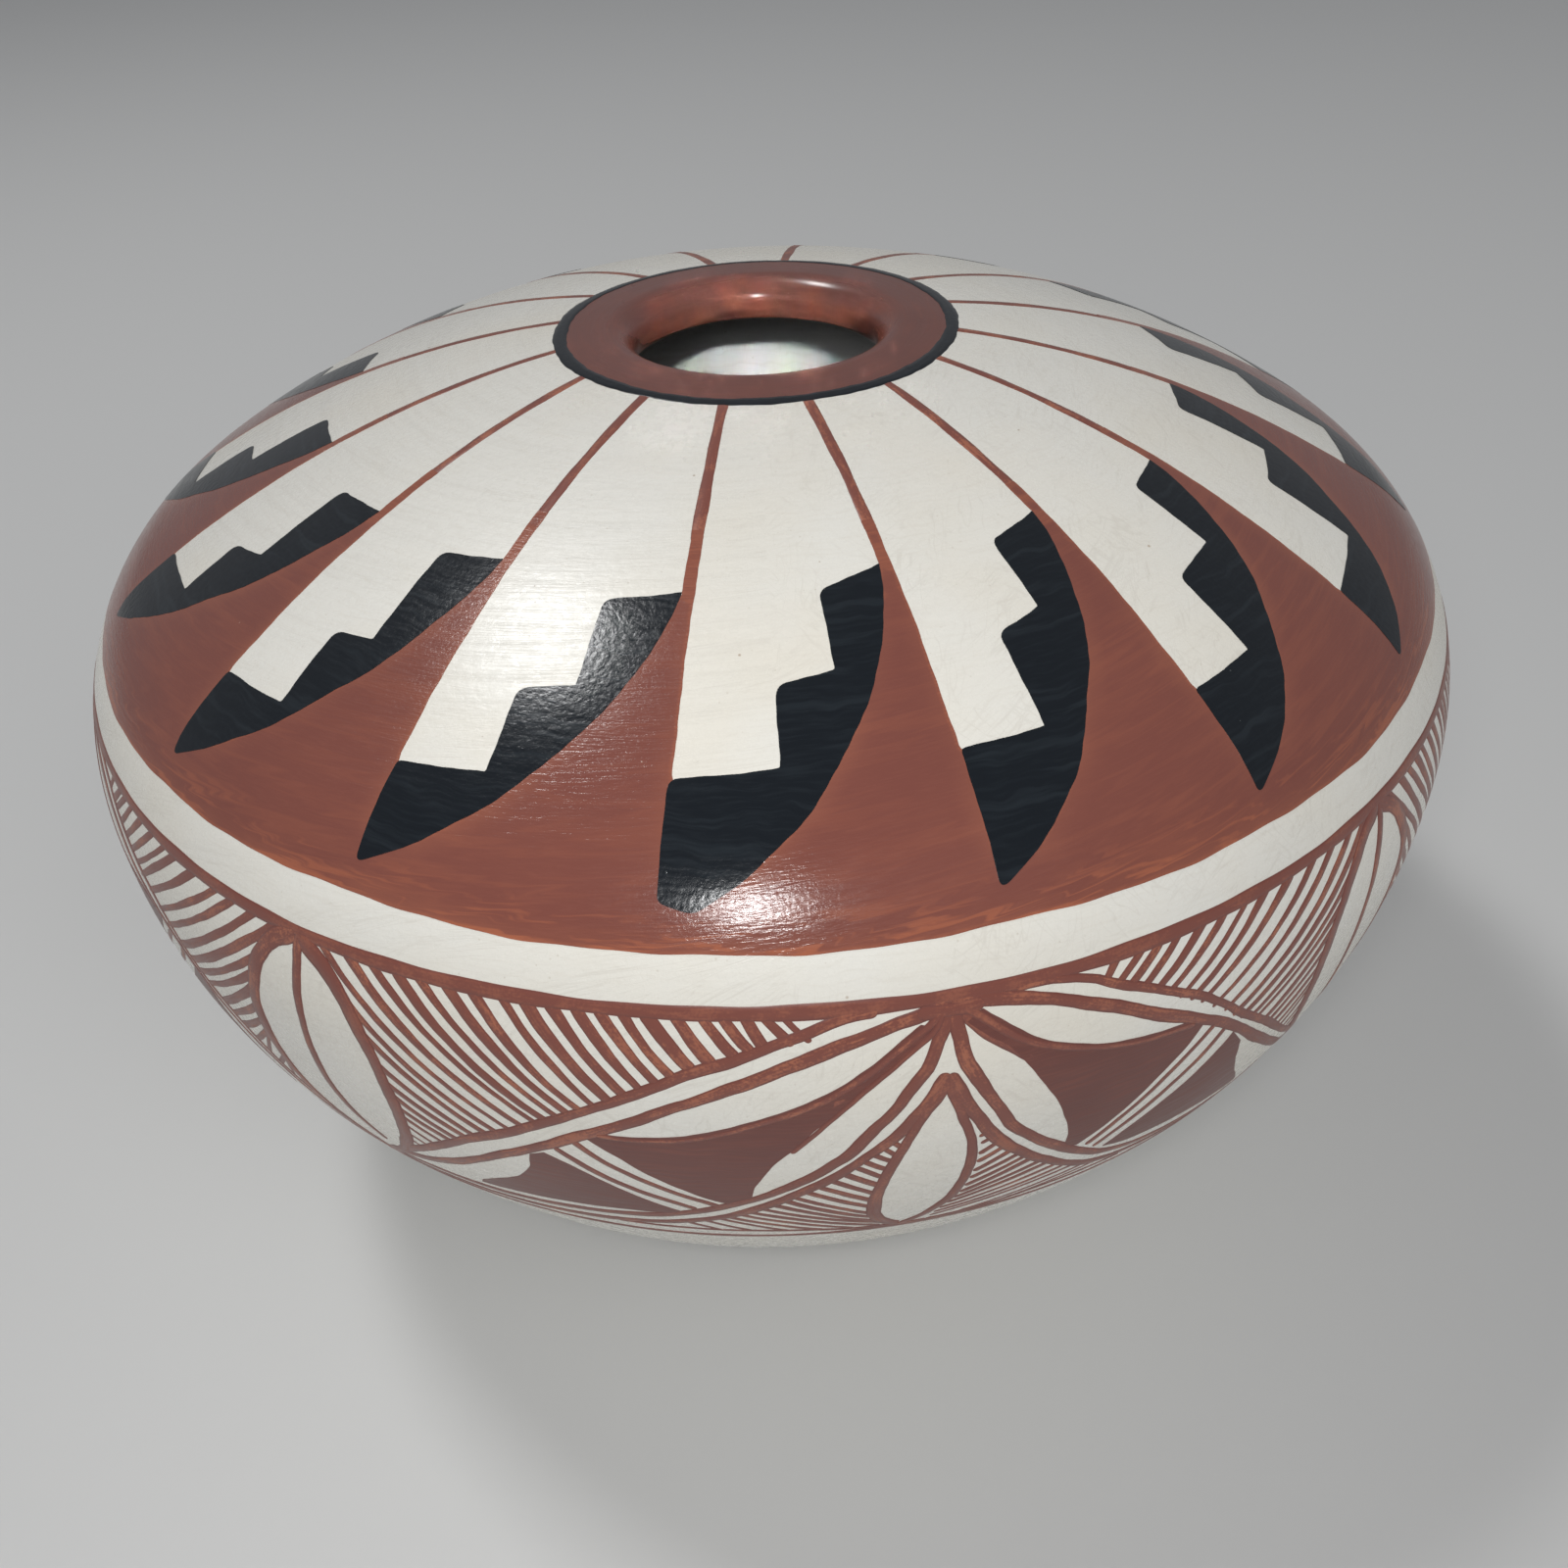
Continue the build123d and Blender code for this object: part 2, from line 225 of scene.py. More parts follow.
def lengths_along(points):
    """How long a line is up to each of its points."""
    return np.append(0, np.cumsum(np.hypot(*np.diff(points, axis=0).T)))


def face_way(points, face):
    """The outward direction of a flat face."""
    return unit(np.cross(points[face[1]] - points[face[0]], points[face[3]] - points[face[0]]))


def facing(turn, run):
    """The outward direction of the uneven wall."""
    nudge = 0.25
    round_it = place(turn + nudge, run, 0) - place(turn - nudge, run, 0)
    down_it = place(turn, run + nudge, 0) - place(turn, run - nudge, 0)
    return unit(np.cross(down_it, round_it))


print("unevenness at the front of the shoulder:", round(float(hand_give(0.0, 80.0)), 3), "mm")

# %% [markdown]
# ## One way to make every mesh
# Each piece is a closed skin. Besides its points and faces it carries three things that the
# finishes read: a map called brush, in metres along and across the brush's way, a number called
# load, which says how much paint the brush held, and a number called rim, the distance in
# millimetres to the paint's edge. The smooth wall's own direction is written into the corners, so
# that light runs over a coat as over one surface.

# %% Make a mesh from arrays
pieces_made = {}


def make_piece(name, points, faces, brush=None, load=None, rim=None, directions=None):
    """faces is a list of lists. brush and directions are given per corner, load and rim per point."""
    mesh = bpy.data.meshes.new(name)
    mesh.from_pydata(points.tolist(), [], faces)
    mesh.polygons.foreach_set("use_smooth", [True] * len(faces))
    if brush is not None:
        mesh.uv_layers.new(name="brush").uv.foreach_set("vector", np.asarray(brush, np.float32).ravel())
    for label, values in (("load", load), ("rim", rim)):
        if values is not None:
            mesh.attributes.new(label, "FLOAT", "POINT").data.foreach_set("value", np.asarray(values, np.float32))
    if directions is not None:
        mesh.normals_split_custom_set(directions.tolist())
    mesh.validate()
    piece = bpy.data.objects.new(name, mesh)
    bpy.context.scene.collection.objects.link(piece)
    pieces_made[name] = piece
    return piece


def dress(piece, material, slot, *nodes):
    """Gives a piece its material and its body, and hides the nodes that it stands for. slot is not used."""
    piece.data.materials.append(material)
    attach(piece, "root")
    if nodes:
        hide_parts(*nodes)
    return piece

# %% [markdown]
# ## Lathed coats
# The clay wall, the ivory slip and the red collar slip are closed bands. Their sections are swept
# round the axis: a fine grid of quads outside, and a plain one inside, joined at both ends. The
# places of the rows are chosen, close together where the wall bends hard and wider on the dome.

# %% Sweep a coat round the axis
round_count = 384
bend_per_row = 0.16


def rows_between(first, last, step):
    """Runs from first to last, step millimetres apart on the dome and closer round tight bends."""
    found, run = [first], first
    while True:
        nearby = np.gradient(line[:, 2], runs), np.gradient(line[:, 3], runs)
        bend = np.hypot(np.interp(run, runs, nearby[0]), np.interp(run, runs, nearby[1]))
        run += min(step, bend_per_row / max(bend, 1e-6))
        if run >= last - 0.1:
            return np.array(found + [last])
        found.append(run)


def lathe_coat(name, outer_runs, outer_lift, inner_runs, inner_lift):
    """A closed band: outer rows going down, then inner rows coming back up."""
    turns = np.arange(round_count) * 360 / round_count
    row_runs = np.concatenate([outer_runs, inner_runs[::-1]])
    lifts = np.concatenate([np.full(len(outer_runs), outer_lift), np.full(len(inner_runs), inner_lift)])
    sides = np.concatenate([np.ones(len(outer_runs)), -np.ones(len(inner_runs))])
    grid_turns, grid_runs = np.meshgrid(turns, row_runs)
    points = place(grid_turns, grid_runs, lifts[:, None]).reshape(-1, 3)
    outward = (facing(grid_turns, grid_runs) * sides[:, None, None]).reshape(-1, 3)
    faces, brush, directions = [], [], []
    rows = len(row_runs)
    radius_here = line_at(row_runs)[0]
    for row in range(rows):
        below = (row + 1) % rows
        at_end = sides[row] != sides[below]
        for k in range(round_count):
            following = (k + 1) % round_count
            face = [row * round_count + k, below * round_count + k,
                    below * round_count + following, row * round_count + following]
            faces.append(face)
            for corner_row, step in ((row, k), (below, k), (below, k + 1), (row, k + 1)):
                turn = step * 360 / round_count
                brush.append((math.radians(turn) * radius_here[corner_row] * MM, row_runs[corner_row] * MM))
            if at_end:
                directions += [face_way(points, face)] * 4
            else:
                directions += [outward[i] for i in face]
    return make_piece(name, points, faces, brush, np.full(len(points), 0.5), np.full(len(points), 3.0),
                      np.array(directions))


print("lathe rows on the dome:", len(rows_between(0, 90, 1.5)))

# %% Sweep the clay wall, floor and foot
floor_thickness = 8.0
foot_ring_width = 16.0
base_dish_depth = 2.0
under_the_coats = 0.02


def even_rows(section, step):
    """Points about step millimetres apart along a drawn section."""
    along = lengths_along(section[:, :2])
    count = max(2, int(along[-1] / step))
    at = np.linspace(0, along[-1], count)
    return np.stack([np.interp(at, along, section[:, i]) for i in range(2)], 1)


def clay_section():
    """The clay's outline from the middle of the base, up outside, over the lip and down inside."""
    dish_radius = foot_flat_radius - foot_ring_width
    share = np.linspace(0, 1, 12)
    dish = np.stack([dish_radius * share, base_dish_depth * (1 - share**2)], 1)
    outer_runs = rows_between(runs[0], runs[-1], 2.5)[::-1]
    radius, height, out_across, out_up = line_at(outer_runs)
    give = hand_depth * np.clip((runs[-1] - outer_runs) / foot_fade, 0, 1) * 2 + under_the_coats
    outside = np.stack([radius - give * out_across, height - give * out_up], 1)
    inside = np.vstack([
        sweep(dome_middle, dome_radius - wall_thickness, under_lean, dome_lean),
        *[sweep(middle, radius - wall_thickness, last, first)
          for middle, radius, first, last in reversed(upper_arcs)],
        *[sweep(middle, radius - wall_thickness, first, last) for middle, radius, first, last in lower_arcs],
        sweep(foot_middle, foot_turn_radius - wall_thickness, foot_lean, 0)])
    floor = np.stack([np.linspace(foot_flat_radius, 0, 20), np.full(20, floor_thickness)], 1)
    return np.vstack([dish, outside, even_rows(inside, 2.0)[1:], floor[1:]])


def lathe_solid(name, section):
    """A closed turned solid whose section starts and ends on the axis."""
    turns = np.radians(np.arange(round_count) * 360 / round_count)
    ring_rows = section[1:-1]
    points = [np.array([[0, 0, section[0][1]]])]
    for radius, height in ring_rows:
        points.append(np.stack([radius * np.sin(turns), -radius * np.cos(turns), np.full(round_count, height)], 1))
    points.append(np.array([[0, 0, section[-1][1]]]))
    points = np.vstack(points) * MM
    along = lengths_along(section)
    faces, brush = [], []
    top = len(points) - 1
    for k in range(round_count):
        following = (k + 1) % round_count
        faces.append([0, 1 + following, 1 + k])
        brush += [(0, 0), (0.001 * k + 0.001, along[1] * MM), (0.001 * k, along[1] * MM)]
    for row in range(len(ring_rows) - 1):
        low, high = 1 + row * round_count, 1 + (row + 1) * round_count
        for k in range(round_count):
            following = (k + 1) % round_count
            faces.append([low + k, low + following, high + following, high + k])
            for step, level in ((k, row), (k + 1, row), (k + 1, row + 1), (k, row + 1)):
                brush.append((step * 2 * math.pi / round_count * ring_rows[level][0] * MM, along[level + 1] * MM))
    last = 1 + (len(ring_rows) - 1) * round_count
    for k in range(round_count):
        following = (k + 1) % round_count
        faces.append([top, last + k, last + following])
        brush += [(0, along[-1] * MM), (0.001 * k, along[-2] * MM), (0.001 * k + 0.001, along[-2] * MM)]
    return make_piece(name, points, faces, brush)


section = clay_section()
section = section[np.append(True, np.hypot(*np.diff(section, axis=0).T) > 1e-4)]
clay_wall = lathe_solid("clay_wall", section)
print("clay rows:", len(section))

# %% Sweep the ivory slip and the red collar slip
collar_ring_width = 2.5
slip_join = -collar_ring_width / 2
throat_slip_lean = 320.0
slip_end_radius = throat_radius + inner_lip_radius * (1 + math.sin(math.radians(throat_slip_lean)))
below_the_lip, far_off = -15.0, 99.0
off_the_end = np.abs(line[:, 0] - slip_end_radius + np.where(runs < below_the_lip, 0, far_off))
throat_slip_run = float(runs[int(np.argmin(off_the_end))])
print("the collar slip ends at run", round(throat_slip_run, 2), "and the line starts at", round(runs[0], 2))
ivory_slip = lathe_coat("ivory_slip", rows_between(slip_join, slip_foot_run, 1.4), slip_top,
                        rows_between(slip_join, slip_foot_run, 6.0), 0.0)
collar_slip = lathe_coat("collar_slip", rows_between(throat_slip_run, slip_join, 0.9), slip_top,
                         rows_between(throat_slip_run, slip_join, 3.0), 0.0)
print("ivory faces:", len(ivory_slip.data.polygons), "collar faces:", len(collar_slip.data.polygons))

# %% [markdown]
# ## Painted areas
# A painted area is drawn as a closed loop in turns and runs, like a paper cut-out laid on the
# unrolled wall. Inside the loop a grid of points is scattered, everything is joined into triangles
# that keep the loop's edge crisp, and the sheet is wrapped on to the wall as a thin film with a
# top, an underside just below the slip and an edge between them. A film, and not a colour mask in
# the slip's material, keeps the hard painted edge sharp at any distance.

# %% Draw smooth and hand-drawn lines
def smooth_through(points, step):
    """A smooth curve through the points, sampled about step apart, in the points' own units."""
    points = np.asarray(points, float)
    if len(points) < 3:
        count = max(2, int(np.hypot(*(points[1] - points[0])) / step) + 1)
        share = np.linspace(0, 1, count)[:, None]
        return points[0] * (1 - share) + points[-1] * share
    knots = np.append(0, np.cumsum(np.sqrt(np.hypot(*np.diff(points, axis=0).T))))
    slopes = np.zeros_like(points)
    for i in range(1, len(points) - 1):
        before, after = knots[i] - knots[i - 1], knots[i + 1] - knots[i]
        slopes[i] = ((points[i] - points[i - 1]) / before * after + (points[i + 1] - points[i]) / after * before)
        slopes[i] /= before + after
    slopes[0] = 2 * (points[1] - points[0]) / (knots[1] - knots[0]) - slopes[1]
    slopes[-1] = 2 * (points[-1] - points[-2]) / (knots[-1] - knots[-2]) - slopes[-2]
    found = []
    for i in range(len(points) - 1):
        gap = knots[i + 1] - knots[i]
        count = max(2, int(np.hypot(*(points[i + 1] - points[i])) / step) + 1)
        t = np.linspace(0, 1, count, endpoint=False)[:, None]
        found.append((2 * t**3 - 3 * t**2 + 1) * points[i] + (t**3 - 2 * t**2 + t) * gap * slopes[i]
                     + (3 * t**2 - 2 * t**3) * points[i + 1] + (t**3 - t**2) * gap * slopes[i + 1])
    return np.vstack(found + [points[-1:]])


def rounded(points, radii, step=0.5):
    """A polyline in millimetres with each inner corner rounded by its own radius."""
    found = [np.array(points[0], float)]
    for before, corner, after, radius in zip(points, points[1:], points[2:], radii):
        corner = np.array(corner, float)
        to_before, to_after = np.array(before) - corner, np.array(after) - corner
        one, two = to_before / np.hypot(*to_before), to_after / np.hypot(*to_after)
        half = math.acos(float(np.clip(one @ two, -1, 1))) / 2
        reach = min(radius / math.tan(half), 0.45 * np.hypot(*to_before), 0.45 * np.hypot(*to_after))
        start, end = corner + one * reach, corner + two * reach
        count = max(3, int(reach * 2 / step))
        for t in np.linspace(0, 1, count):
            found.append((1 - t) ** 2 * start + 2 * t * (1 - t) * corner + t**2 * end)
    found.append(np.array(points[-1], float))
    return densely(np.array(found), step * 1.6)


def densely(points, step):
    """The same line with no two points more than step apart."""
    found = [points[:1]]
    for start, end in zip(points, points[1:]):
        count = max(1, int(math.ceil(np.hypot(*(end - start)) / step)))
        share = np.linspace(0, 1, count + 1)[1:, None]
        found.append(start * (1 - share) + end * share)
    return np.vstack(found)


def square_to(points):
    """The direction square to a line at each of its points."""
    way = np.gradient(points, axis=0)
    way /= np.maximum(np.hypot(*way.T), 1e-9)[:, None]
    return np.stack([-way[:, 1], way[:, 0]], 1)


def by_hand(points, size, seed, hold=2.0):
    """Lets a line in millimetres wander by about size, but not in the hold millimetres at its ends."""
    draw = np.random.default_rng(seed)
    along = lengths_along(points)
    wander = np.zeros(len(points))
    for length, part in ((23.0, 0.6), (9.0, 0.5), (3.7, 0.3)):
        wander += part * np.sin(along / length * 2 * math.pi * draw.uniform(0.8, 1.25) + draw.uniform(0, 6.28))
    wander *= np.clip(np.minimum(along, along[-1] - along) / hold, 0, 1)
    return points + square_to(points) * (wander * size)[:, None]


print("a quarter turn rounded:", len(rounded([(0, 0), (5, 0), (5, 5)], [2.0])), "points")

# %% Cut a film out of the unrolled wall
film_sink = 0.05
row_share = 0.866       # rows of a triangle grid lie this share of its pitch apart


def inside(points, loop):
    """Which points lie inside the closed loop, by counting crossings."""
    starts, ends = loop, np.roll(loop, -1, 0)
    found = np.zeros(len(points), bool)
    for first in range(0, len(points), 2000):
        x, y = points[first:first + 2000, 0:1], points[first:first + 2000, 1:2]
        spans = (starts[:, 1] > y) != (ends[:, 1] > y)
        rise = np.where(ends[:, 1] == starts[:, 1], 1e-12, ends[:, 1] - starts[:, 1])
        crossing = (ends[:, 0] - starts[:, 0]) * (y - starts[:, 1]) / rise + starts[:, 0]
        found[first:first + 2000] = (spans & (x < crossing)).sum(1) % 2 == 1
    return found


def edge_distance(points, loop, cap=3.0):
    """How far each point is from the loop's nearest point, up to cap."""
    tree = kdtree.KDTree(len(loop))
    for i, (x, y) in enumerate(loop):
        tree.insert((x, y, 0), i)
    tree.balance()
    return np.array([min(tree.find((x, y, 0))[2], cap) for x, y in points])


def cut_out(loop, pitch):
    """Triangles that fill a loop drawn in millimetres. Returns points and triangles."""
    low, high = loop.min(0), loop.max(0)
    grid = []
    for i, y in enumerate(np.arange(low[1], high[1], pitch * row_share)):
        x = np.arange(low[0] + (i % 2) * pitch / 2, high[0], pitch)
        grid.append(np.stack([x, np.full(len(x), y)], 1))
    grid = np.vstack(grid)
    grid = grid[inside(grid, loop)]
    if len(grid):
        grid = grid[edge_distance(grid, loop, 99) > pitch * 0.55]
    points = np.vstack([loop, grid])
    ring = [(i, (i + 1) % len(loop)) for i in range(len(loop))]
    found = geometry.delaunay_2d_cdt([Vector(p) for p in points], ring, [], 0, 1e-7, True)
    points = np.array([tuple(p) for p in found[0]])
    triangles = np.array(found[2])
    middles = points[triangles].mean(1)
    return points, triangles[inside(middles, loop)]


square = np.array([(0, 0), (10, 0), (10, 10), (0, 10)], float)
print("a 10 mm square film:", len(cut_out(square, 2.0)[1]), "triangles")

# %% Wrap a film on the wall


def film_arrays(loop, across_mm, lift, pitch=2.0, weld=False):
    """A wrapped film as points, faces, brush, load, rim and directions. loop is in turns and runs,
    and across_mm is the length of one degree that the drawing is flattened with."""
    scale = np.array([across_mm, 1.0])
    flat_points, triangles = cut_out(loop * scale, pitch)
    rim = edge_distance(flat_points, densely(np.vstack([loop, loop[:1]]) * scale, 0.3))
    turn_run = flat_points / scale
    turns, at = turn_run.T
    top = place(turns, at, lift)
    bottom = place(turns, at, slip_top - film_sink)
    out = facing(turns, at)
    count = len(top)
    if weld:
        keys = np.round(np.stack([np.sin(np.radians(turns)), np.cos(np.radians(turns)), at], 1) * 1e4)
        first, same = np.unique(keys.astype(np.int64), axis=0, return_index=True, return_inverse=True)[1:]
        same = first[same.ravel()]
    else:
        same = np.arange(count)
    joined = same[triangles][:, ::-1]
    edges = {(a, b): True for face in joined for a, b in zip(face, np.roll(face, -1))}
    skirt = [(a, b) for a, b in edges if (b, a) not in edges]
    radius = line_at(at)[0]
    map_points = np.stack([np.radians(turns) * radius * MM, at * MM], 1)
    faces, brush, directions = [], [], []
    for face, plain in zip(joined, triangles[:, ::-1]):
        faces.append([int(i) for i in face])
        brush += [map_points[i] for i in plain]
        directions += [out[i] for i in face]
    for face, plain in zip(joined, triangles[:, ::-1]):
        faces.append([int(i) + count for i in face[::-1]])
        brush += [map_points[i] for i in plain[::-1]]
        directions += [-out[i] for i in face[::-1]]
    for a, b in skirt:
        faces.append([int(b), int(a), int(a) + count, int(b) + count])
        brush += [map_points[b], map_points[a], map_points[a], map_points[b]]
        directions += [unit(np.cross(top[a] - top[b], bottom[b] - top[b]))] * 4
    return (np.vstack([top, bottom]), faces, np.array(brush), np.full(2 * count, 0.5),
            np.tile(rim, 2), np.array(directions))


square_film = film_arrays(square, 1.75, slip_top + 0.05)
print("a wrapped film:", len(square_film[0]), "points and", len(square_film[1]), "faces")

# %% Join films and strokes into one mesh


def joined_arrays(parts):
    """Several films or strokes as one mesh's arrays, without the points that no face uses."""
    points, faces, brush, load, rim, directions, offset = [], [], [], [], [], [], 0
    for part_points, part_faces, part_brush, part_load, part_rim, part_directions in parts:
        used = np.unique(np.concatenate([np.array(f) for f in part_faces]))
        place_of = np.full(len(part_points), -1)
        place_of[used] = np.arange(len(used)) + offset
        points.append(part_points[used])
        faces += [[int(place_of[i]) for i in face] for face in part_faces]
        brush.append(part_brush)
        load.append(part_load[used])
        rim.append(part_rim[used])
        directions.append(part_directions)
        offset += len(used)
    return (np.vstack(points), faces, np.vstack(brush), np.concatenate(load), np.concatenate(rim),
            np.vstack(directions))


print("two films joined:", len(joined_arrays([square_film, square_film])[1]), "faces")

# %% [markdown]
# ## Brush lines
# A line is one pull of a small brush: it starts and ends round, its width swells and thins a
# little, and it lies as a low ridge of paint. Each line is a ribbon of five points across, wrapped
# on the wall like the films, with its own way along and across, so that streaks follow the pull.

# %% Pull one brush line
across_shares = np.array([-1.0, -0.62, 0.0, 0.62, 1.0])     # the five points, in half widths
across_rise = np.array([0.25, 0.85, 1.0, 0.85, 0.25])       # their height, in shares of paint_rise
across_lean = np.array([-0.5, -0.16, 0.0, 0.16, 0.5])       # how far the light reads them as leaning
paint_rise = 0.06
stroke_step = 1.1
thinnest_end = 0.12


def on_wall_mm(path):
    """The length of one degree of turn at each point of a path."""
    return np.radians(1) * line_at(path[:, 1])[0]


def brush_line(path, width, seed, lift=0.0, taper=(1.0, 1.0), wander=0.08, load=None):
    """A ribbon along a path in turns and runs. width is in millimetres, taper is its share at both ends."""
    draw = np.random.default_rng(seed)
    path = np.asarray(path, float)
    middle = on_wall_mm(path).mean()
    flat = smooth_through(path * np.array([middle, 1.0]), 0.6)
    along = lengths_along(flat)
    total = along[-1]
    half = width / 2
    tips = half * (1 - np.cos(np.linspace(0.35, math.pi / 2, 5)))
    tips = tips[tips < total * 0.3]
    after_tip = tips[-1] if len(tips) else 0
    evenly = np.linspace(after_tip, total - after_tip, max(3, int(total / stroke_step)))
    at = np.unique(np.concatenate([tips, evenly, total - tips]))
    centre = np.stack([np.interp(at, along, flat[:, i]) for i in range(2)], 1)
    centre = by_hand(centre, wander, seed + 1) if wander else centre
    side = square_to(centre)
    share = at / total
    swell = 1 + 0.07 * np.sin(at / 5.3 + draw.uniform(0, 6.3)) + 0.05 * np.sin(at / 2.1 + draw.uniform(0, 6.3))
    to_end = np.minimum(at, total - at)
    end_round = np.sqrt(np.clip(1 - (1 - np.clip(to_end / half, 0, 1)) ** 2, 0, 1))
    end_round = np.maximum(end_round, thinnest_end)
    halves = half * (taper[0] * (1 - share) + taper[1] * share) * swell * end_round
    spots = centre[:, None, :] + side[:, None, :] * (halves[:, None] * across_shares)[..., None]
    turns, at_run = spots[..., 0] / middle, spots[..., 1]
    shift = middle / (np.radians(1) * line_at(at_run)[0])
    turns = centre[:, None, 0] / middle + (turns - centre[:, None, 0] / middle) * shift
    rise = slip_top + lift + paint_rise * across_rise[None, :] * np.ones((len(at), 1))
    top = place(turns, at_run, rise)
    low = place(turns[:, [0, -1]], at_run[:, [0, -1]], slip_top - film_sink)
    out = facing(turns, at_run)
    out = unit(out + unit(top[:, -1] - top[:, 0])[:, None, :] * across_lean[None, :, None])
    wide, rings = len(across_shares), len(at)
    ring_size = wide + 2
    points = np.concatenate([top, low], 1).reshape(-1, 3)
    load = draw.uniform(0, 1) if load is None else load
    start = draw.uniform(0, 3, 2)
    faces, brush, directions = [], [], []
    spread = np.append(across_shares, [-1.0, 1.0])[None, :] * halves[:, None]
    for i in range(rings - 1):
        a, b = i * ring_size, (i + 1) * ring_size
        for j in range(wide - 1):
            faces.append([a + j, a + j + 1, b + j + 1, b + j])
            for ring, k in ((i, j), (i, j + 1), (i + 1, j + 1), (i + 1, j)):
                brush.append((start[0] + at[ring] * MM, start[1] + spread[ring, k] * MM))
                directions.append(out[ring, k])
        for j, k in ((wide, 0), (wide - 1, wide + 1), (wide + 1, wide)):
            faces.append([a + j, a + k, b + k, b + j])
            face_out = unit(np.cross(points[a + k] - points[a + j], points[b + j] - points[a + j]))
            for ring, at_corner in ((i, j), (i, k), (i + 1, k), (i + 1, j)):
                brush.append((start[0] + at[ring] * MM, start[1] + spread[ring, at_corner] * MM))
                directions.append(face_out)
    for ring, order in ((0, [wide, wide + 1, *range(wide - 1, -1, -1)]),
                        (rings - 1, [*range(wide), wide + 1, wide])):
        a = ring * ring_size
        faces.append([a + j for j in order])
        end_out = unit(points[a] - points[a + ring_size if ring == 0 else a - ring_size])
        for j in order:
            brush.append((start[0] + at[ring] * MM, start[1] + spread[ring, j] * MM))
            directions.append(end_out)
    rim = np.concatenate([(1 - np.abs(across_shares))[None, :] * halves[:, None], np.zeros((rings, 2))], 1)
    return (points, faces, np.array(brush), np.full(len(points), load), rim.ravel(), np.array(directions))


test_line = brush_line([(0, 20), (0, 40)], 1.7, 1)
print("a 20 mm brush line:", len(test_line[1]), "faces")

# %% Pull a line right round the jar
ring_steps = 720


def ring_line(first_run, last_run, lift, seed, wander, narrowing=0.0):
    """A painted ring round the jar between two runs, both edges drawn by hand. narrowing takes the
    ring's upper edge in, most at the back and least at the sides."""
    turns = np.linspace(0, 360, ring_steps + 1)[:-1]
    t = np.radians(turns)
    draw = np.random.default_rng(seed)

    def wavy():
        return wander * sum(part * np.sin(waves * t + draw.uniform(0, 6.28))
                            for waves, part in ((3, 0.5), (7, 0.5), (16, 0.4), (37, 0.3), (71, 0.2)))

    taken_in = narrowing * (0.45 + 0.35 * np.cos(2 * t) - 0.3 * np.cos(t))
    edges = [first_run + wavy() + taken_in, last_run + wavy()]
    shares = np.linspace(0, 1, 4)
    at_run = edges[0][None, :] * (1 - shares[:, None]) + edges[1][None, :] * shares[:, None]
    at_turn = np.tile(turns, (4, 1))
    rise = slip_top + lift * np.array([0.45, 1.0, 1.0, 0.45])[:, None]
    top = place(at_turn, at_run, rise)
    low = place(at_turn[[0, -1]], at_run[[0, -1]], slip_top - film_sink)
    out = facing(at_turn, at_run)
    lean = unit(place(at_turn, at_run + 0.2, 0) - place(at_turn, at_run, 0))
    out = unit(out + lean * np.array([-0.4, 0, 0, 0.4])[:, None, None])
    points = np.concatenate([top, low]).reshape(-1, 3)
    count = len(turns)
    radius = line_at(at_run.mean(1))[0]
    rows_run = np.append(at_run.mean(1), at_run.mean(1)[[0, -1]])
    rows_radius = np.append(radius, radius[[0, -1]])
    faces, brush, directions = [], [], []
    for a, b in ((0, 1), (1, 2), (2, 3), (3, 5), (5, 4), (4, 0)):
        for k in range(count):
            following = (k + 1) % count
            face = [a * count + k, b * count + k, b * count + following, a * count + following]
            faces.append(face)
            for row, step in ((a, k), (b, k), (b, k + 1), (a, k + 1)):
                brush.append((step * 2 * math.pi / count * rows_radius[row] * MM, rows_run[row] * MM))
            if a < 3 and b < 4:
                directions += [out[a, k], out[b, k], out[b, following], out[a, following]]
            else:
                directions += [face_way(points, face)] * 4
    to_edge = np.minimum(shares, 1 - shares)[:, None] * abs(last_run - first_run)
    rim = np.concatenate([np.tile(to_edge, (1, count)), np.zeros((2, count))])
    return (points, faces, np.array(brush), np.full(len(points), 0.5), rim.ravel(), np.array(directions))


print("a ring line:", len(ring_line(0.0, 2.0, 0.08, 1, 0.1)[1]), "faces")

# %% [markdown]
# ## The feathers on the dome
# Sixteen thin red rays run out from the collar. Between two rays lies a feather: an ivory blade,
# and a black tip whose inner edge climbs in three steps and whose outer edge is one bowed belly.
# What is left between the feathers is painted red, down to the hem above the white band. Seven
# feathers were measured from the photograph, and the rest, on the far side, follow their average
# with a painter's small differences. No two are alike, as on the real jar.

# %% Set out the rays
ray_collar_turns = (-76, -54, -31, -9.2, 12.4, 35.3, 57.3, 78.5, 101, 124, 147, 170, 193, 216, 238, 261)
ray_hem_turns = (-72.5, -49.7, -29.1, -8, 13.1, 33.3, 54.8, 79, 102, 125, 148, 172, 195, 218, 241, 264)
ray_count = len(ray_collar_turns)
ray_width = 1.75
field_reach = 115.4
field_start_run = 30.0
field_hem_run = 92.2


def seen_from_above(turn, radius):
    return np.array([radius * math.sin(math.radians(turn)), -radius * math.cos(math.radians(turn))])


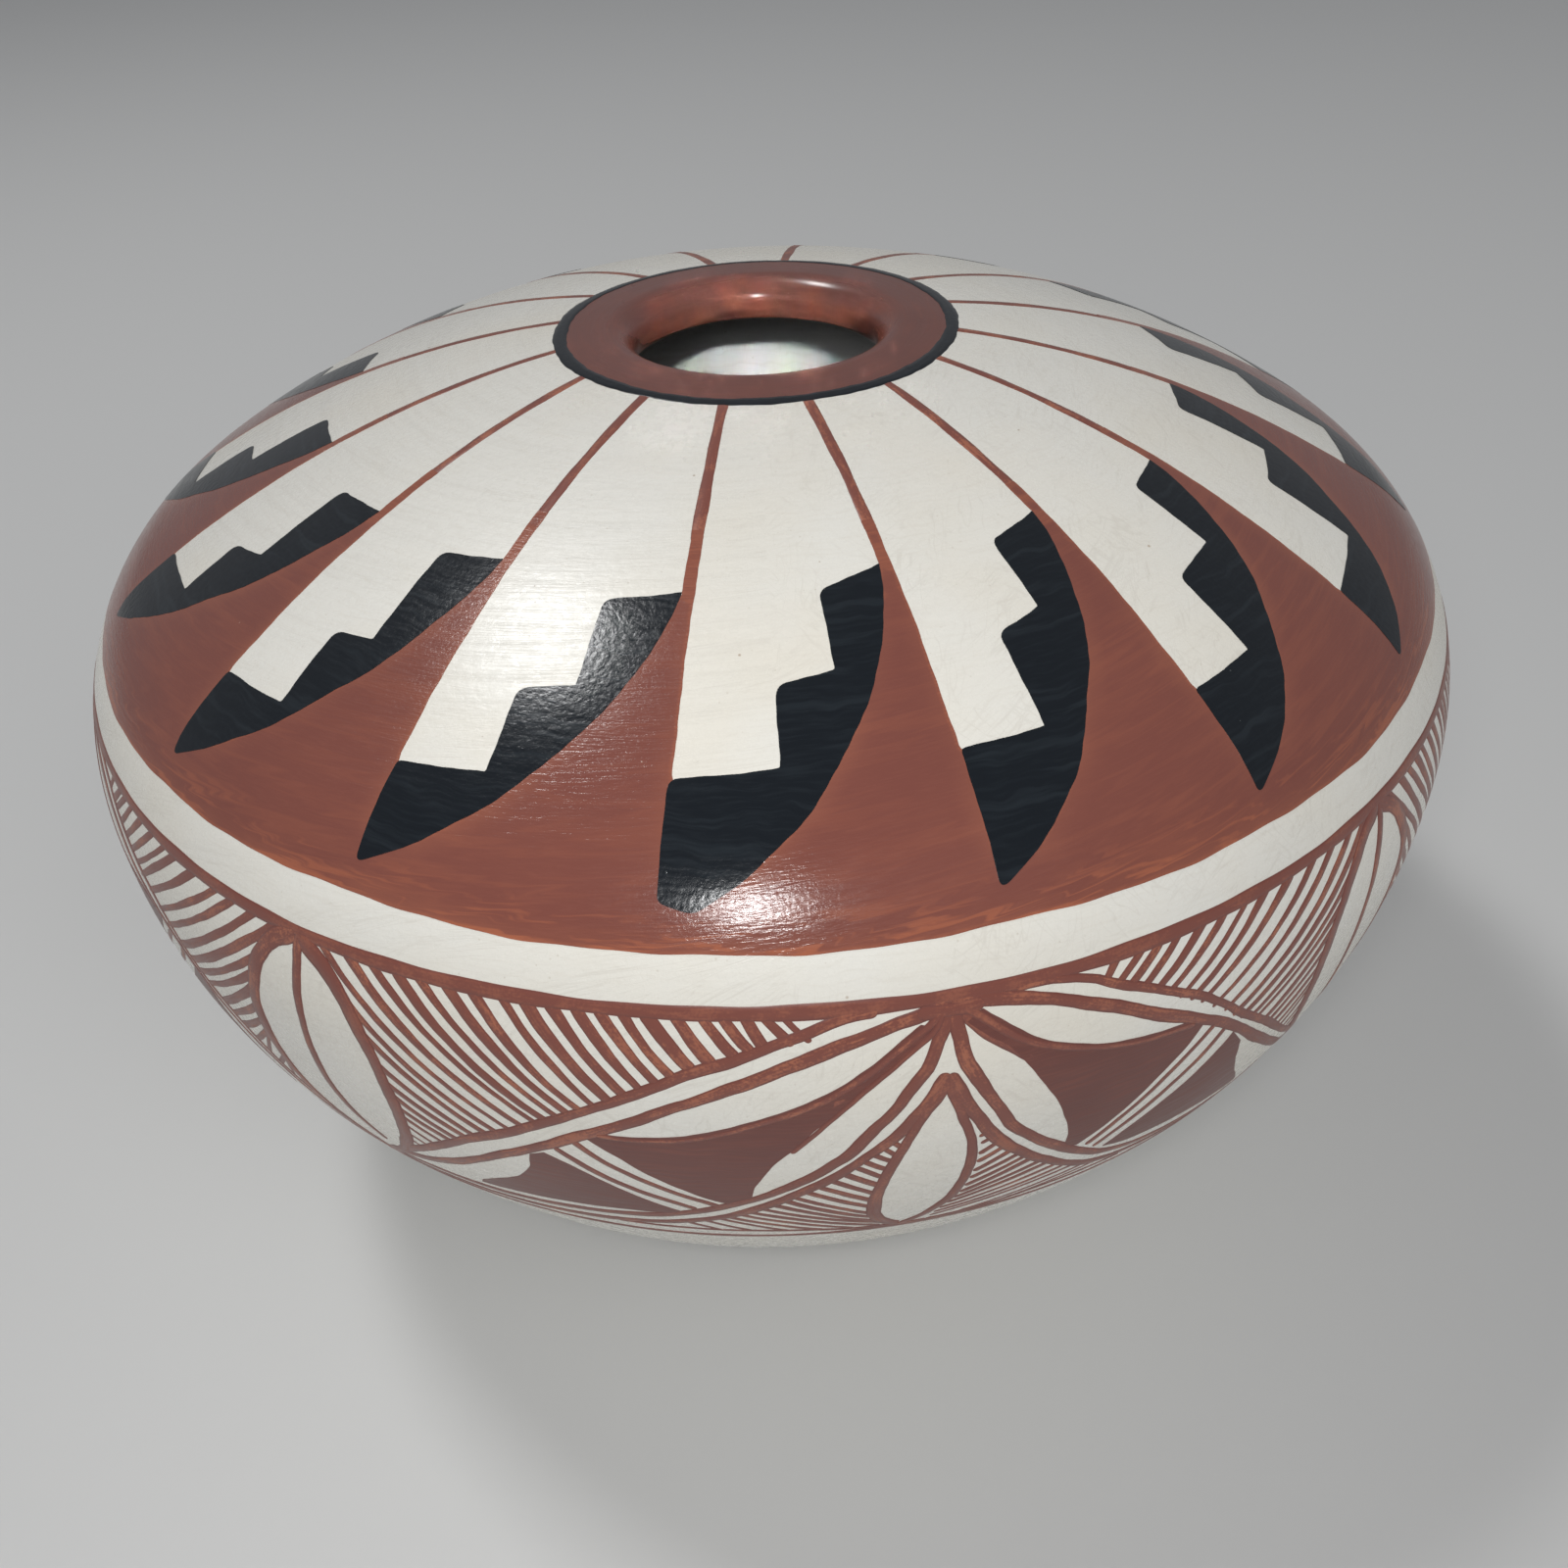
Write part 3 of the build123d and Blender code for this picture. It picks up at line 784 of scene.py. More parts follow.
def ray_turn(ray, run):
    """The turn of a ray's middle at each run. It is a straight line seen from above."""
    whole = 360 * (ray // ray_count)
    start = seen_from_above(ray_collar_turns[ray % ray_count], collar_radius)
    end = seen_from_above(ray_hem_turns[ray % ray_count], field_reach)
    share = (line_at(np.asarray(run, float))[0] - collar_radius) / (field_reach - collar_radius)
    x, y = (start[i] + (end[i] - start[i]) * share for i in range(2))
    turn = np.degrees(np.arctan2(x, -y))
    near = ray_collar_turns[ray % ray_count]
    return turn + 360 * np.round((near - turn) / 360) + whole


def on_feather(feather, share, run):
    """A place on a feather, by its share of the way from its left edge to its right edge."""
    run = np.asarray(run, float)
    half = np.degrees(ray_width / 2 / line_at(run)[0])
    left, right = ray_turn(feather, run) + half, ray_turn(feather + 1, run) - half
    return np.stack([left + (right - left) * np.asarray(share, float), run], -1)


print("a feather is", round(float(on_feather(3, 1, 60)[0] - on_feather(3, 0, 60)[0]), 1), "degrees wide")

# %% [markdown]
# A feather is measured against its two rays. A row holds the two corners' shares of the way from ray
# to ray, each of the three steps' runs at its left corner and at its right end, and the tip's share,
# run and roundness.

# %% Measure the stairs of the seven feathers that the photograph shows, and lay out the others
seen_stairs = (
    (0.593, 0.362, 41.9, 40.6, 60.6, 58.1, 71.9, 71.2, 0.03, 86.4, 0.7),
    (0.606, 0.386, 41.9, 40.0, 59.8, 58.5, 73.1, 72.5, 0.01, 87.6, 0.7),
    (0.604, 0.362, 43.8, 41.6, 59.4, 57.9, 73.4, 72.1, 0.0, 87.9, 0.7),
    (0.644, 0.389, 41.9, 38.5, 56.9, 55.0, 70.2, 68.8, 0.10, 87.6, 2.2),
    (0.624, 0.362, 38.8, 36.2, 53.8, 51.5, 69.0, 68.8, 0.0, 88.2, 0.8),
    (0.675, 0.351, 40.6, 39.0, 56.2, 54.4, 71.5, 70.6, 0.0, 88.1, 0.7),
    (0.680, 0.385, 38.8, 36.9, 56.2, 54.4, 73.8, 71.5, 0.0, 87.5, 0.7),
)
belly_bow = ((0.0, 1.0), (0.10, 0.965), (0.18, 0.92), (0.324, 0.825), (0.473, 0.707), (0.608, 0.566),
             (0.743, 0.425), (0.86, 0.26), (0.95, 0.11), (1.0, 0.0))
feather_draw = np.random.default_rng(7)
average = np.mean(seen_stairs, axis=0)
usual_spread = (0.03, 0.015, 1.4, 1.0, 1.6, 1.2, 1.2, 0.9, 0.01, 0.5, 0.1)
usual_climb = ((3, 2.0, 0.5), (5, 1.9, 0.4), (7, 1.1, 0.4))     # a step's right end, its climb and spread
stairs = list(seen_stairs)
while len(stairs) < ray_count:
    other = average + feather_draw.normal(0, 1, len(average)) * usual_spread
    for column, climb, spread in usual_climb:
        other[column] = other[column - 1] - abs(feather_draw.normal(climb, spread))
    stairs.append(tuple(other))
print("stairs laid out:", len(stairs))


def belly_line(feather, inset_mm=0.0):
    """The bowed outer edge, from the first step's right end to the tip."""
    first, tip_share, tip_run = stairs[feather][3], stairs[feather][8], stairs[feather][9]
    bow = smooth_through(belly_bow, 0.03)
    at_run = first + (tip_run - first) * bow[:, 0]
    wide = np.radians(on_feather(feather, 1, at_run)[:, 0] - on_feather(feather, 0, at_run)[:, 0])
    share = tip_share + (1 - tip_share) * bow[:, 1] - inset_mm / (wide * line_at(at_run)[0])
    return on_feather(feather, share, at_run)

# %% [markdown]
# The black tip is one loop along its bowed belly, its tip, its left edge and its stairs. A corner is
# either round, as the side of a brush leaves it, or nearly sharp, as its point does.

# %% Paint the black stepped tips
sharp_corner, brush_corner = 0.35, 2.0
top_lift = 0.09


def black_tip(feather):
    one, two, a1, b1, a2, b2, a3, b3, tip_share, tip_run, tip_round = stairs[feather]
    blunt = tip_share > 0.05
    edge, foot_run, corner_round = (-0.012, tip_run - 1.4, 1.8) if blunt else (0.0, tip_run, 0.7)
    middle = float(on_wall_mm(np.array([[0.0, 62.0]]))[0])
    scale = np.array([middle, 1.0])
    belly = belly_line(feather) * scale
    left = on_feather(feather, edge, np.linspace(foot_run, a3, 6)) * scale
    stair = [on_feather(feather, edge, a3), on_feather(feather, two, b3), on_feather(feather, two, a2),
             on_feather(feather, one, b2), on_feather(feather, one, a1)]
    stair = [point * scale for point in stair]
    climb = rounded([left[-2], *stair, belly[0]],
                    [corner_round, sharp_corner, brush_corner, sharp_corner, brush_corner])
    corners, radii = ([belly[-1], left[0]], [tip_round, 1.3]) if blunt else ([belly[-1]], [tip_round])
    tip = rounded([belly[-8], *corners, left[1]], radii, 0.25)
    seed = 100 + 10 * feather
    outline = np.vstack([by_hand(densely(belly[:-8], 0.8), 0.10, seed), tip[:-1],
                         by_hand(densely(left[1:-1], 0.8), 0.05, seed + 1), by_hand(climb, 0.09, seed + 2)[1:-1]])
    gap = np.hypot(*(outline - np.roll(outline, 1, 0)).T)
    return film_arrays(outline[gap > 0.03] / scale, middle, slip_top + top_lift, pitch=1.8)


black_tips = make_piece("black_stepped_tips", *joined_arrays([black_tip(i) for i in range(ray_count)]))
print("black faces:", len(black_tips.data.polygons))

# %% [markdown]
# The red field is one film all the way round, with a scalloped upper edge. It runs on under the
# black tips a little, as the red slip does on the real jar, so that no ivory shows between them.

# %% Paint the red field round the feathers
hidden_overlap = 0.45
shoulder_mm, ray_mm = 1.75, 1.7     # the length of one degree of turn, low on the dome and by the rays
field_lift = 0.05


def field_edge(feather):
    """The field's edge along one feather: down its left side, under the black tip, and back up."""
    a3, b1 = stairs[feather][6], stairs[feather][3]
    tip_run = stairs[feather][9]
    under = belly_line(feather, hidden_overlap)[::-1]
    under = under[(under[:, 1] < tip_run - 4.5) & (under[:, 1] > b1 + 1.6)]
    left = on_feather(feather, 0, np.arange(field_start_run, a3 - 0.2, 0.9))
    inner = on_feather(feather, 0, np.linspace(a3 + 0.8, tip_run - 5.5, 8))
    wide = np.radians(on_feather(feather, 1, inner[:, 1])[:, 0] - inner[:, 0]) * line_at(inner[:, 1])[0]
    inner = on_feather(feather, hidden_overlap / wide, inner[:, 1])
    right = on_feather(feather, 1, np.arange(b1 + 0.4, field_start_run - 0.01, -0.9))
    right = np.vstack([right, on_feather(feather, 1, np.array([field_start_run]))]) if len(right) else right
    scale = np.array([ray_mm, 1.0])
    return np.vstack([by_hand(left * scale, 0.10, 300 + feather) / scale, inner, under,
                      by_hand(right * scale, 0.10, 400 + feather) / scale])


def hem_wave(turn):
    """How far the field's lower edge wanders down at each turn."""
    t = np.radians(turn)
    return (0.22 * np.sin(3 * t + 1.0) + 0.22 * np.sin(7 * t + 2.2) + 0.16 * np.sin(17 * t + 0.5)
            + 0.09 * np.sin(41 * t + 1.0) + 0.05 * np.sin(83 * t))


seam_ray = 8
edges_of_feathers = []
for feather in range(seam_ray, seam_ray + ray_count):
    edge = field_edge(feather % ray_count)
    edges_of_feathers.append(edge + np.array([360.0 * (feather // ray_count), 0.0]))
seam_runs = np.arange(field_start_run, field_hem_run - 0.5, 1.5)
seam = np.stack([ray_turn(seam_ray, seam_runs), seam_runs], 1)
hem_turns = np.linspace(seam[-1, 0], seam[-1, 0] + 360, 721)
hem = np.stack([hem_turns, field_hem_run + hem_wave(hem_turns)], 1)
field_loop = np.vstack([seam[::-1], *edges_of_feathers, seam + np.array([360.0, 0.0]), hem[::-1]])
keep = np.append(True, np.abs(np.diff(field_loop, axis=0)).sum(1) > 1e-5)
field_loop = field_loop[keep][:-1]
red_field = make_piece("red_field", *joined_arrays([
    film_arrays(field_loop, shoulder_mm, slip_top + field_lift, pitch=2.1, weld=True)]))
print("red field faces:", len(red_field.data.polygons))

# %% Pull the sixteen rays
ray_lines = []
for ray in range(ray_count):
    at_run = np.linspace(-1.2, field_start_run + 2.5, 9)
    ray_lines.append(brush_line(np.stack([ray_turn(ray, at_run), at_run], 1), ray_width * 1.04, 500 + ray,
                                lift=-0.02, taper=(0.94, 1.04), wander=0.045))
red_rays = make_piece("red_rays", *joined_arrays(ray_lines))
print("ray faces:", len(red_rays.data.polygons))

# %% Paint the black ring that hides the join of the two slips
collar_ring = make_piece("collar_ring_paint", *ring_line(-collar_ring_width, 0.0, 0.08, 21, 0.16, 1.0))
print("ring faces:", len(collar_ring.data.polygons))

# %% [markdown]
# ## The frieze
# Below the white band two red lines hold a frieze of five fans with a leaf between each two. The
# front fan was measured from the photograph: its drawing is in degrees from the fan's middle, and
# in millimetres below the upper line. The other four are wholly or partly out of sight. They
# follow it, stretched to the room that the painter left each, with strokes that differ a little.

# %% Set out the fans and leaves
frieze_run = run_at_radius(121.5)
frieze_depth = 57.5
border_width = 1.7
fan_turns = (9.4, 81.0, 151.0, 221.0, 291.0)
leaf_turns = (-32.6, 45.0, 116.0, 186.0, 256.0)
seen_room = {"left": 42.0, "right": 35.6}
half_fans = []
for fan, (fan_turn, left_leaf) in enumerate(zip(fan_turns, leaf_turns)):
    right_leaf = leaf_turns[(fan + 1) % 5] + (360.0 if fan == 4 else 0.0)
    half_fans += [(fan_turn, left_leaf, 10 * fan, "left"), (fan_turn, right_leaf, 10 * fan + 5, "right")]


def on_frieze(half, drawing):
    """Turns and runs of a drawing in degrees from the fan's middle and millimetres down."""
    fan_turn, leaf_turn, _, side = half
    drawing = np.asarray(drawing, float)
    stretch = (leaf_turn - fan_turn) / seen_room[side]
    return np.stack([fan_turn + stretch * drawing[:, 0], frieze_run + drawing[:, 1]], 1)


print("the frieze runs from", round(frieze_run, 1), "to", round(frieze_run + frieze_depth, 1))

# %% Draw the two borders
painted_more = 0.35
frieze_borders = make_piece("frieze_border_lines", *joined_arrays([
    ring_line(frieze_run, frieze_run + border_width + painted_more, top_lift, 31, 0.20),
    ring_line(frieze_run + frieze_depth - border_width, frieze_run + frieze_depth, top_lift, 32, 0.25)]))
print("border faces:", len(frieze_borders.data.polygons))

# %% Write down the drawing of one fan
# Each line is a row of places. A stroke of the hatching is its start, its end, and its two widths.
fan_drawing = {
    "left": {
        "upper_rib": ((4.2, 1.9), (5.4, 2.1), (6.4, 2.6), (7.4, 3.2), (8.4, 4.1), (9.4, 4.8), (11.4, 6.5),
                      (13.4, 8.3), (15.4, 10), (17.4, 12.3), (19.4, 14.8), (21.4, 17.3), (23.4, 20.2),
                      (25.4, 22.9), (27.4, 26), (29.4, 28.7), (31.4, 31.9), (33.4, 35.6), (35.4, 39.4),
                      (37.4, 43.2), (39.4, 47.3)),
        "lower_rib": ((0, 2.2), (1.9, 3.3), (3.4, 4.1), (5.4, 5.5), (7.4, 7.1), (9.4, 8.9), (11.4, 10.8),
                      (13.4, 12.7), (15.4, 14.8), (17.4, 17.1), (19.4, 19.9), (21.4, 22.3), (23.4, 24.9),
                      (25.4, 28), (27.4, 31.1), (29.4, 34.3), (31.4, 37.8), (33.4, 41.2), (35.4, 44.3),
                      (37.4, 46.9), (39.8, 49.6), (41.1, 51.6), (41.8, 53.6)),
        "ray_rib": ((0, 2.4), (0.3, 5.5), (0.7, 7.6), (1.3, 11), (1.9, 13), (2.5, 15), (3, 17), (3.6, 19),
                    (4.3, 21), (4.9, 23), (5.5, 25), (6.1, 27), (7, 29), (7.9, 31), (9, 33), (10.1, 35),
                    (11.4, 37.2), (12.8, 39.3), (14.1, 41.1), (15.7, 43.1), (17.4, 45), (19.9, 46.9),
                    (23.4, 48.4), (27.4, 49.7), (31.4, 50.7), (39.4, 52), (41.7, 53.8)),
        "inner_arch": ((0, 12.9), (0.5, 14.5), (1.1, 17.1), (2.1, 20.4), (2.9, 23), (4.1, 25.9),
                       (4.9, 27.7), (5.8, 29.9), (6.7, 31.9), (7.6, 33.8), (8.6, 35.7), (9.7, 37.7),
                       (10.8, 39.7), (11.8, 41.5), (12.9, 43.3), (14, 44.9), (15.3, 46.5), (17.7, 49),
                       (19.5, 50.3), (21.4, 51.3), (25.4, 52.6), (31.4, 53.8), (39.4, 54.8),
                       (41.8, 55.7)),
        "floor_rib": ((0, 55.6), (2.9, 55.4), (6.1, 54.6), (8.8, 53.4), (11.4, 53), (16.4, 52.7),
                      (22.4, 52.4)),
        "petal_underside": ((1.7, 4.5), (2.4, 5.5), (3.4, 7.3), (4.4, 9.3), (5.4, 10.9), (6.4, 12.5),
                            (7.4, 13.8), (8.4, 15), (9.4, 16.1), (10.4, 17), (11.4, 17.9), (12.4, 18.8),
                            (13.4, 19.8), (14.4, 20.6), (15.4, 21.3), (16.4, 21.9), (17.4, 22.3),
                            (19.4, 22.8), (21, 22.8)),
        "field_stripe_edge": ((22.3, 24.5), (21.4, 26.3), (20.4, 28.4), (19.4, 30.9), (18.4, 32.9),
                              (17.4, 34.9), (16.4, 36.6), (15.4, 38.3), (14.4, 39.6), (13.9, 40.2)),
        "petal_side": ((12.7, 39.6), (12.4, 38.5), (12.3, 37.1), (12.1, 34.8), (11.6, 32.1), (11, 29.4),
                       (10.4, 27.4), (9.4, 24.7), (8.4, 21.5), (7.4, 19), (6.4, 16.5), (5.4, 14),
                       (4.4, 11.9), (3.4, 10), (2.4, 8), (1.4, 6.3), (0.8, 5.2)),
        "outer_stripe_edge": ((25.6, 29.9), (24.2, 31.9), (22.3, 35.2), (20.4, 38.8), (18.5, 42.1),
                              (17.2, 44.2)),
        "outer_floor": ((18, 44.9), (19.1, 45.3), (20.8, 45.5), (23.3, 46), (26.1, 46.7), (28.4, 47.3),
                        (30.7, 47.9), (32.7, 48.4)),
        "outer_petal": ((32.4, 47), (31.5, 45.2), (30.4, 43.2), (29.4, 41.5), (28.4, 39.6), (27.7, 37.5),
                        (27.1, 35.2), (26.9, 33.2), (26.7, 31.2)),
        "first_stripe": ((23.3, 25.6), (22.4, 27.9), (21.4, 30.2), (19.4, 33.8), (17.4, 37.2), (15.4, 40),
                         (14.6, 41.4)),
        "second_stripe": ((24.7, 28), (23.4, 31), (21.4, 35), (19.4, 38.1), (17.4, 40.9), (16.2, 42.7)),
        "vein": ((0.8, 4.2), (2.1, 6.3), (3.4, 8.5), (5.4, 11.9), (7.4, 14.8), (9.4, 17.1), (11.4, 18.9),
                 (13.4, 20.7), (15.4, 22.2), (17.4, 23.1), (20, 23.5), (21.6, 23.3)),
        "petal_line": ((0.8, 5.6), (2.4, 8.6), (4, 11.8), (5.5, 14.8), (6.8, 18), (8.2, 21.6), (9.6, 25.6)),
        "strokes": ((37.5, 1.6, 26.6, 24, 1.5, 1), (35.7, 1.6, 25.6, 22.4, 1.2, 0.8),
                    (33.8, 1.6, 24.9, 21.3, 1.6, 1.1), (32.2, 1.6, 24, 20.2, 1.2, 0.8),
                    (30.3, 1.6, 23.2, 19.2, 1.5, 1.1), (28.5, 1.6, 22.4, 18.1, 1.5, 1),
                    (26.6, 1.6, 21.5, 16.7, 1.2, 0.8), (25.1, 1.6, 20.5, 15.4, 1.7, 1.2),
                    (23.5, 1.6, 19.5, 14, 1.6, 1.2), (21.9, 1.6, 18.5, 12.7, 1.5, 1.1),
                    (20.5, 1.6, 17.5, 11.4, 1.3, 1.2), (19.1, 1.6, 16.5, 10.2, 1.3, 1.2),
                    (17.7, 1.6, 15.3, 9, 1.7, 1.5), (16, 1.6, 14.1, 8, 1.5, 1.5),
                    (14.4, 1.6, 12.7, 6.9, 1.3, 1.4), (13.2, 1.6, 11.8, 6, 1.1, 1.3),
                    (11.9, 1.6, 10.9, 5.8, 1.4, 1.4), (10.8, 1.6, 9.4, 5.1, 1, 1.1),
                    (9.7, 1.6, 8.4, 4.8, 0.7, 0.8), (36.5, 7.8, 27.7, 25.4, 1.1, 0.8),
                    (36.5, 11.5, 28.8, 26.8, 1.2, 0.9), (36.5, 14.7, 29.6, 28.1, 1.3, 1),
                    (36.5, 19.2, 30.6, 29.7, 1.3, 1), (36.5, 22.8, 31.3, 31.1, 1.2, 1),
                    (36.5, 25.5, 32.1, 32.6, 1.3, 1), (36.5, 28.5, 32.8, 33.9, 1.1, 1),
                    (36.5, 30.9, 33.7, 35.5, 1, 0.9), (36.5, 33.9, 34.7, 37.2, 0.6, 0.9),
                    (37, 36.4, 35.6, 39, 0.7, 0.7), (37.3, 38.6, 36.4, 40.6, 0.6, 0.6),
                    (37.7, 40.5, 37.1, 41.9, 0.5, 0.6), (38.1, 42.3, 37.8, 43.2, 0.5, 0.5)),
        "drop_strokes": ((3.2, 25.6, 2.9, 26.4, 0.8, 0.8), (3.6, 27.2, 3.3, 28, 0.9, 0.9),
                         (4.2, 28.3, 3.5, 29.6, 0.9, 0.9), (4.8, 29.7, 3.8, 31.6, 1, 1),
                         (5.3, 31.1, 4, 33.8, 1, 1), (6, 32.6, 4.2, 36.2, 1.2, 1.1),
                         (6.8, 34.3, 4.4, 38.9, 1, 1.1), (7.6, 35.9, 4.6, 41.2, 1.2, 1.1),
                         (8.4, 37.3, 4.7, 43.7, 1.1, 1.1), (9.2, 38.9, 4.7, 46.6, 0.9, 1.1),
                         (9.8, 39.9, 4.5, 48.7, 1.2, 1.1), (10.6, 41.3, 4.1, 51.2, 1, 1.1),
                         (11.4, 42.7, 3.6, 52.7, 1, 1), (12.2, 44, 3.8, 54.2, 1.1, 1),
                         (12.9, 45.1, 5.8, 53.9, 0.9, 0.9), (13.7, 46.3, 8, 53.3, 1, 0.9),
                         (14.4, 47.2, 10.4, 52.9, 0.9, 0.9), (15.6, 48.2, 12.8, 52.8, 0.9, 0.9),
                         (17, 49.4, 15, 52.7, 0.9, 0.8)),
    },
    "right": {
        "upper_rib": ((4.2, 1.9), (6.6, 2), (7.6, 2.4), (8.6, 3), (9.6, 3.9), (10.6, 5.1), (11.6, 6.2),
                      (12.6, 7.3), (13.6, 8.5), (14.6, 9.7), (15.6, 11), (16.6, 12.3), (17.6, 13.7),
                      (18.6, 15.5), (19.6, 17.5), (20.6, 19.7), (21.6, 21.9), (22.6, 24), (23.6, 26),
                      (24.6, 28), (25.6, 30.3), (26.6, 32.5), (27.6, 34.8), (28.6, 37.2), (30.6, 41.3),
                      (32.6, 45.5), (33.3, 46.9)),
        "lower_rib": ((0.2, 2.1), (1.6, 2.3), (3.1, 2.8), (4.6, 3.5), (6.6, 4.9), (8.6, 6.7), (10.6, 8.7),
                      (12.6, 11.2), (14.6, 14), (16.6, 16.5), (17.6, 18), (18.6, 19.5), (19.6, 21.1),
                      (20.6, 22.9), (21.6, 25), (22.6, 27.3), (23.6, 29.7), (24.6, 32.1), (26.6, 36.6),
                      (28.6, 41), (30.6, 45.1), (33.1, 49.4), (34.5, 51.5), (35.4, 53.6)),
        "ray_rib": ((0.2, 2.4), (0.5, 6), (0.7, 8), (1, 11), (1.5, 13.7), (2, 16), (2.6, 18.7), (3.1, 21),
                    (3.7, 23.6), (4.3, 26.2), (5.1, 28.6), (5.8, 30.4), (6.6, 32.5), (7.6, 35), (8.6, 37.3),
                    (9.6, 39.5), (10.6, 41.6), (11.6, 43.5), (12.6, 45.3), (14.1, 47.2), (16.6, 49.4),
                    (20.6, 51.2), (26.6, 52.4), (33.6, 52.8), (35.4, 54.0)),
        "inner_arch": ((0, 12.9), (0.4, 15), (1, 18.4), (1.5, 20.9), (2.1, 23.4), (2.7, 25.9), (3.3, 28.3),
                       (3.9, 30.2), (4.6, 32.2), (5.4, 34.4), (6.2, 36.6), (7.2, 39), (8.2, 41.3),
                       (9.3, 43.7), (10.4, 45.9), (11.6, 48), (13.6, 50.3), (16.6, 52.3), (20.6, 53.6),
                       (26.6, 54.5), (33.6, 54.9), (35.5, 55.7)),
        "floor_rib": ((0, 55.6), (2.6, 55.4), (5.6, 54.6), (8.6, 53.6), (11.6, 53.2), (15.6, 53.2)),
        "petal_underside": ((2.1, 3.7), (3.1, 5.6), (4.1, 7.6), (5.4, 9.9), (6.8, 11.7), (8.3, 13.1),
                            (9.6, 14.2), (10.6, 14.9), (12.6, 15.9), (14.6, 16.6), (16.6, 17.2),
                            (17.2, 17.9)),
        "field_stripe_edge": ((17.8, 19), (16.6, 22.8), (15.6, 25.3), (14.6, 27.8), (13.6, 30.4),
                              (12.6, 32.8), (11.2, 35.7), (9.8, 38.3)),
        "petal_side": ((9.1, 37.3), (8.8, 36.3), (8.7, 33.8), (8.4, 30.7), (8, 27.9), (7.4, 24.3),
                       (6.6, 20.7), (5.6, 16.9), (4.6, 13.2), (3.7, 10.5), (2.6, 8.4), (1.7, 6.5),
                       (1.1, 5.2)),
        "outer_stripe_edge": ((21.1, 25.2), (19.6, 29), (17.6, 33.3), (15.6, 36.8), (13.6, 40.7),
                              (12.5, 43.2)),
        "outer_floor": ((13.6, 44.3), (15.1, 45.4), (17.6, 46.3), (20.6, 47.1), (23.6, 47.9), (26.2, 48.4)),
        "outer_petal": ((25.9, 46.6), (24.9, 43), (24.1, 40.3), (23.5, 37.5), (22.9, 34.5), (22.6, 31.6),
                        (22.4, 29.2)),
        "first_stripe": ((18.9, 20.6), (17.6, 23.5), (16.6, 25.8), (15.6, 28.1), (14.6, 30.5), (13.6, 32.8),
                         (12.6, 35.1), (11.6, 37.5), (10.7, 39.7)),
        "second_stripe": ((20.1, 22.7), (18.6, 26.8), (16.6, 31), (14.6, 35.1), (12.6, 39.2), (11.5, 41.6)),
        "vein": ((1.4, 3.8), (2.6, 6.2), (3.9, 8.6), (5.4, 10.9), (7, 12.7), (8.6, 14.1), (10.6, 15.7),
                 (12.6, 16.7), (14.6, 17.4), (17, 18.2)),
        "petal_line": ((1, 5.6), (2.1, 8.4), (3.6, 11.6), (4.8, 14.8), (5.9, 18.9), (6.8, 22.6),
                       (7.7, 27.4)),
        "strokes": ((10.9, 1.7, 9.9, 4.9, 1.2, 0.9), (12.7, 1.7, 10.7, 5.9, 1, 1.1),
                    (14, 1.7, 11.6, 6.7, 1.1, 1), (15.4, 1.7, 12.5, 7.7, 1.1, 0.9),
                    (17.2, 1.7, 13.5, 9, 1.3, 1), (19, 1.7, 14.4, 10.2, 1.2, 0.9),
                    (20.9, 1.7, 15.4, 11.6, 0.9, 0.7), (22.6, 1.7, 16.3, 12.9, 1.3, 0.9),
                    (24.9, 1.7, 17.2, 14.3, 1.4, 0.9), (27.4, 1.7, 18.3, 16.4, 1.1, 0.8),
                    (29.5, 1.7, 19.5, 18.6, 1.2, 0.9), (31.7, 1.7, 20.5, 20.9, 1.2, 1.2),
                    (33.7, 1.7, 21.4, 22.7, 1.3, 1.3), (31.3, 8.9, 22.4, 24.3, 1.2, 1),
                    (30.7, 12.8, 23.1, 25.6, 1.2, 0.9), (30.1, 16.7, 24.4, 27.6, 1.3, 1.3),
                    (30.1, 20, 25.1, 29.3, 1.1, 1.1), (30.1, 23.2, 25.9, 31.1, 1.1, 1.2),
                    (30.1, 25.6, 26.9, 33, 0.8, 1), (30.1, 27.3, 27.7, 34.6, 0.8, 0.9),
                    (30.1, 31.5, 28.6, 36.4, 0.8, 0.9),
                    (30.2, 34.2, 29.4, 38, 0.7, 0.7), (30.5, 36.8, 30.1, 39.5, 0.6, 0.6),
                    (30.9, 39.1, 30.8, 40.9, 0.5, 0.6), (31.3, 41.2, 31.4, 42.2, 0.5, 0.5)),
        "drop_strokes": ((2.8, 26.7, 2.2, 27.4, 0.8, 0.8), (3.1, 28.3, 2.4, 29.3, 0.9, 0.9),
                         (3.5, 30.1, 2.4, 32.1, 0.9, 1), (4.1, 31.6, 2.4, 34.4, 1, 1.1),
                         (4.6, 33.5, 2.3, 37.1, 1.1, 1), (5.2, 35.2, 2.2, 39.3, 1, 1),
                         (5.8, 36.6, 2, 41.8, 0.9, 1.1), (6.3, 38.1, 1.8, 44.1, 1.2, 1.1),
                         (7, 40.2, 1.5, 46.1, 1.1, 1.1), (7.6, 41.8, 1.1, 47.9, 1.1, 1.1),
                         (8.4, 43.8, 0.7, 50, 1, 1), (9.2, 45.7, 0.4, 51.9, 1, 1),
                         (10.2, 47.3, 0.2, 53.6, 0.9, 0.9), (11.8, 48.9, 2.6, 54.9, 0.9, 0.9),
                         (13.6, 50, 6.1, 54.2, 0.9, 0.8)),
    },
}
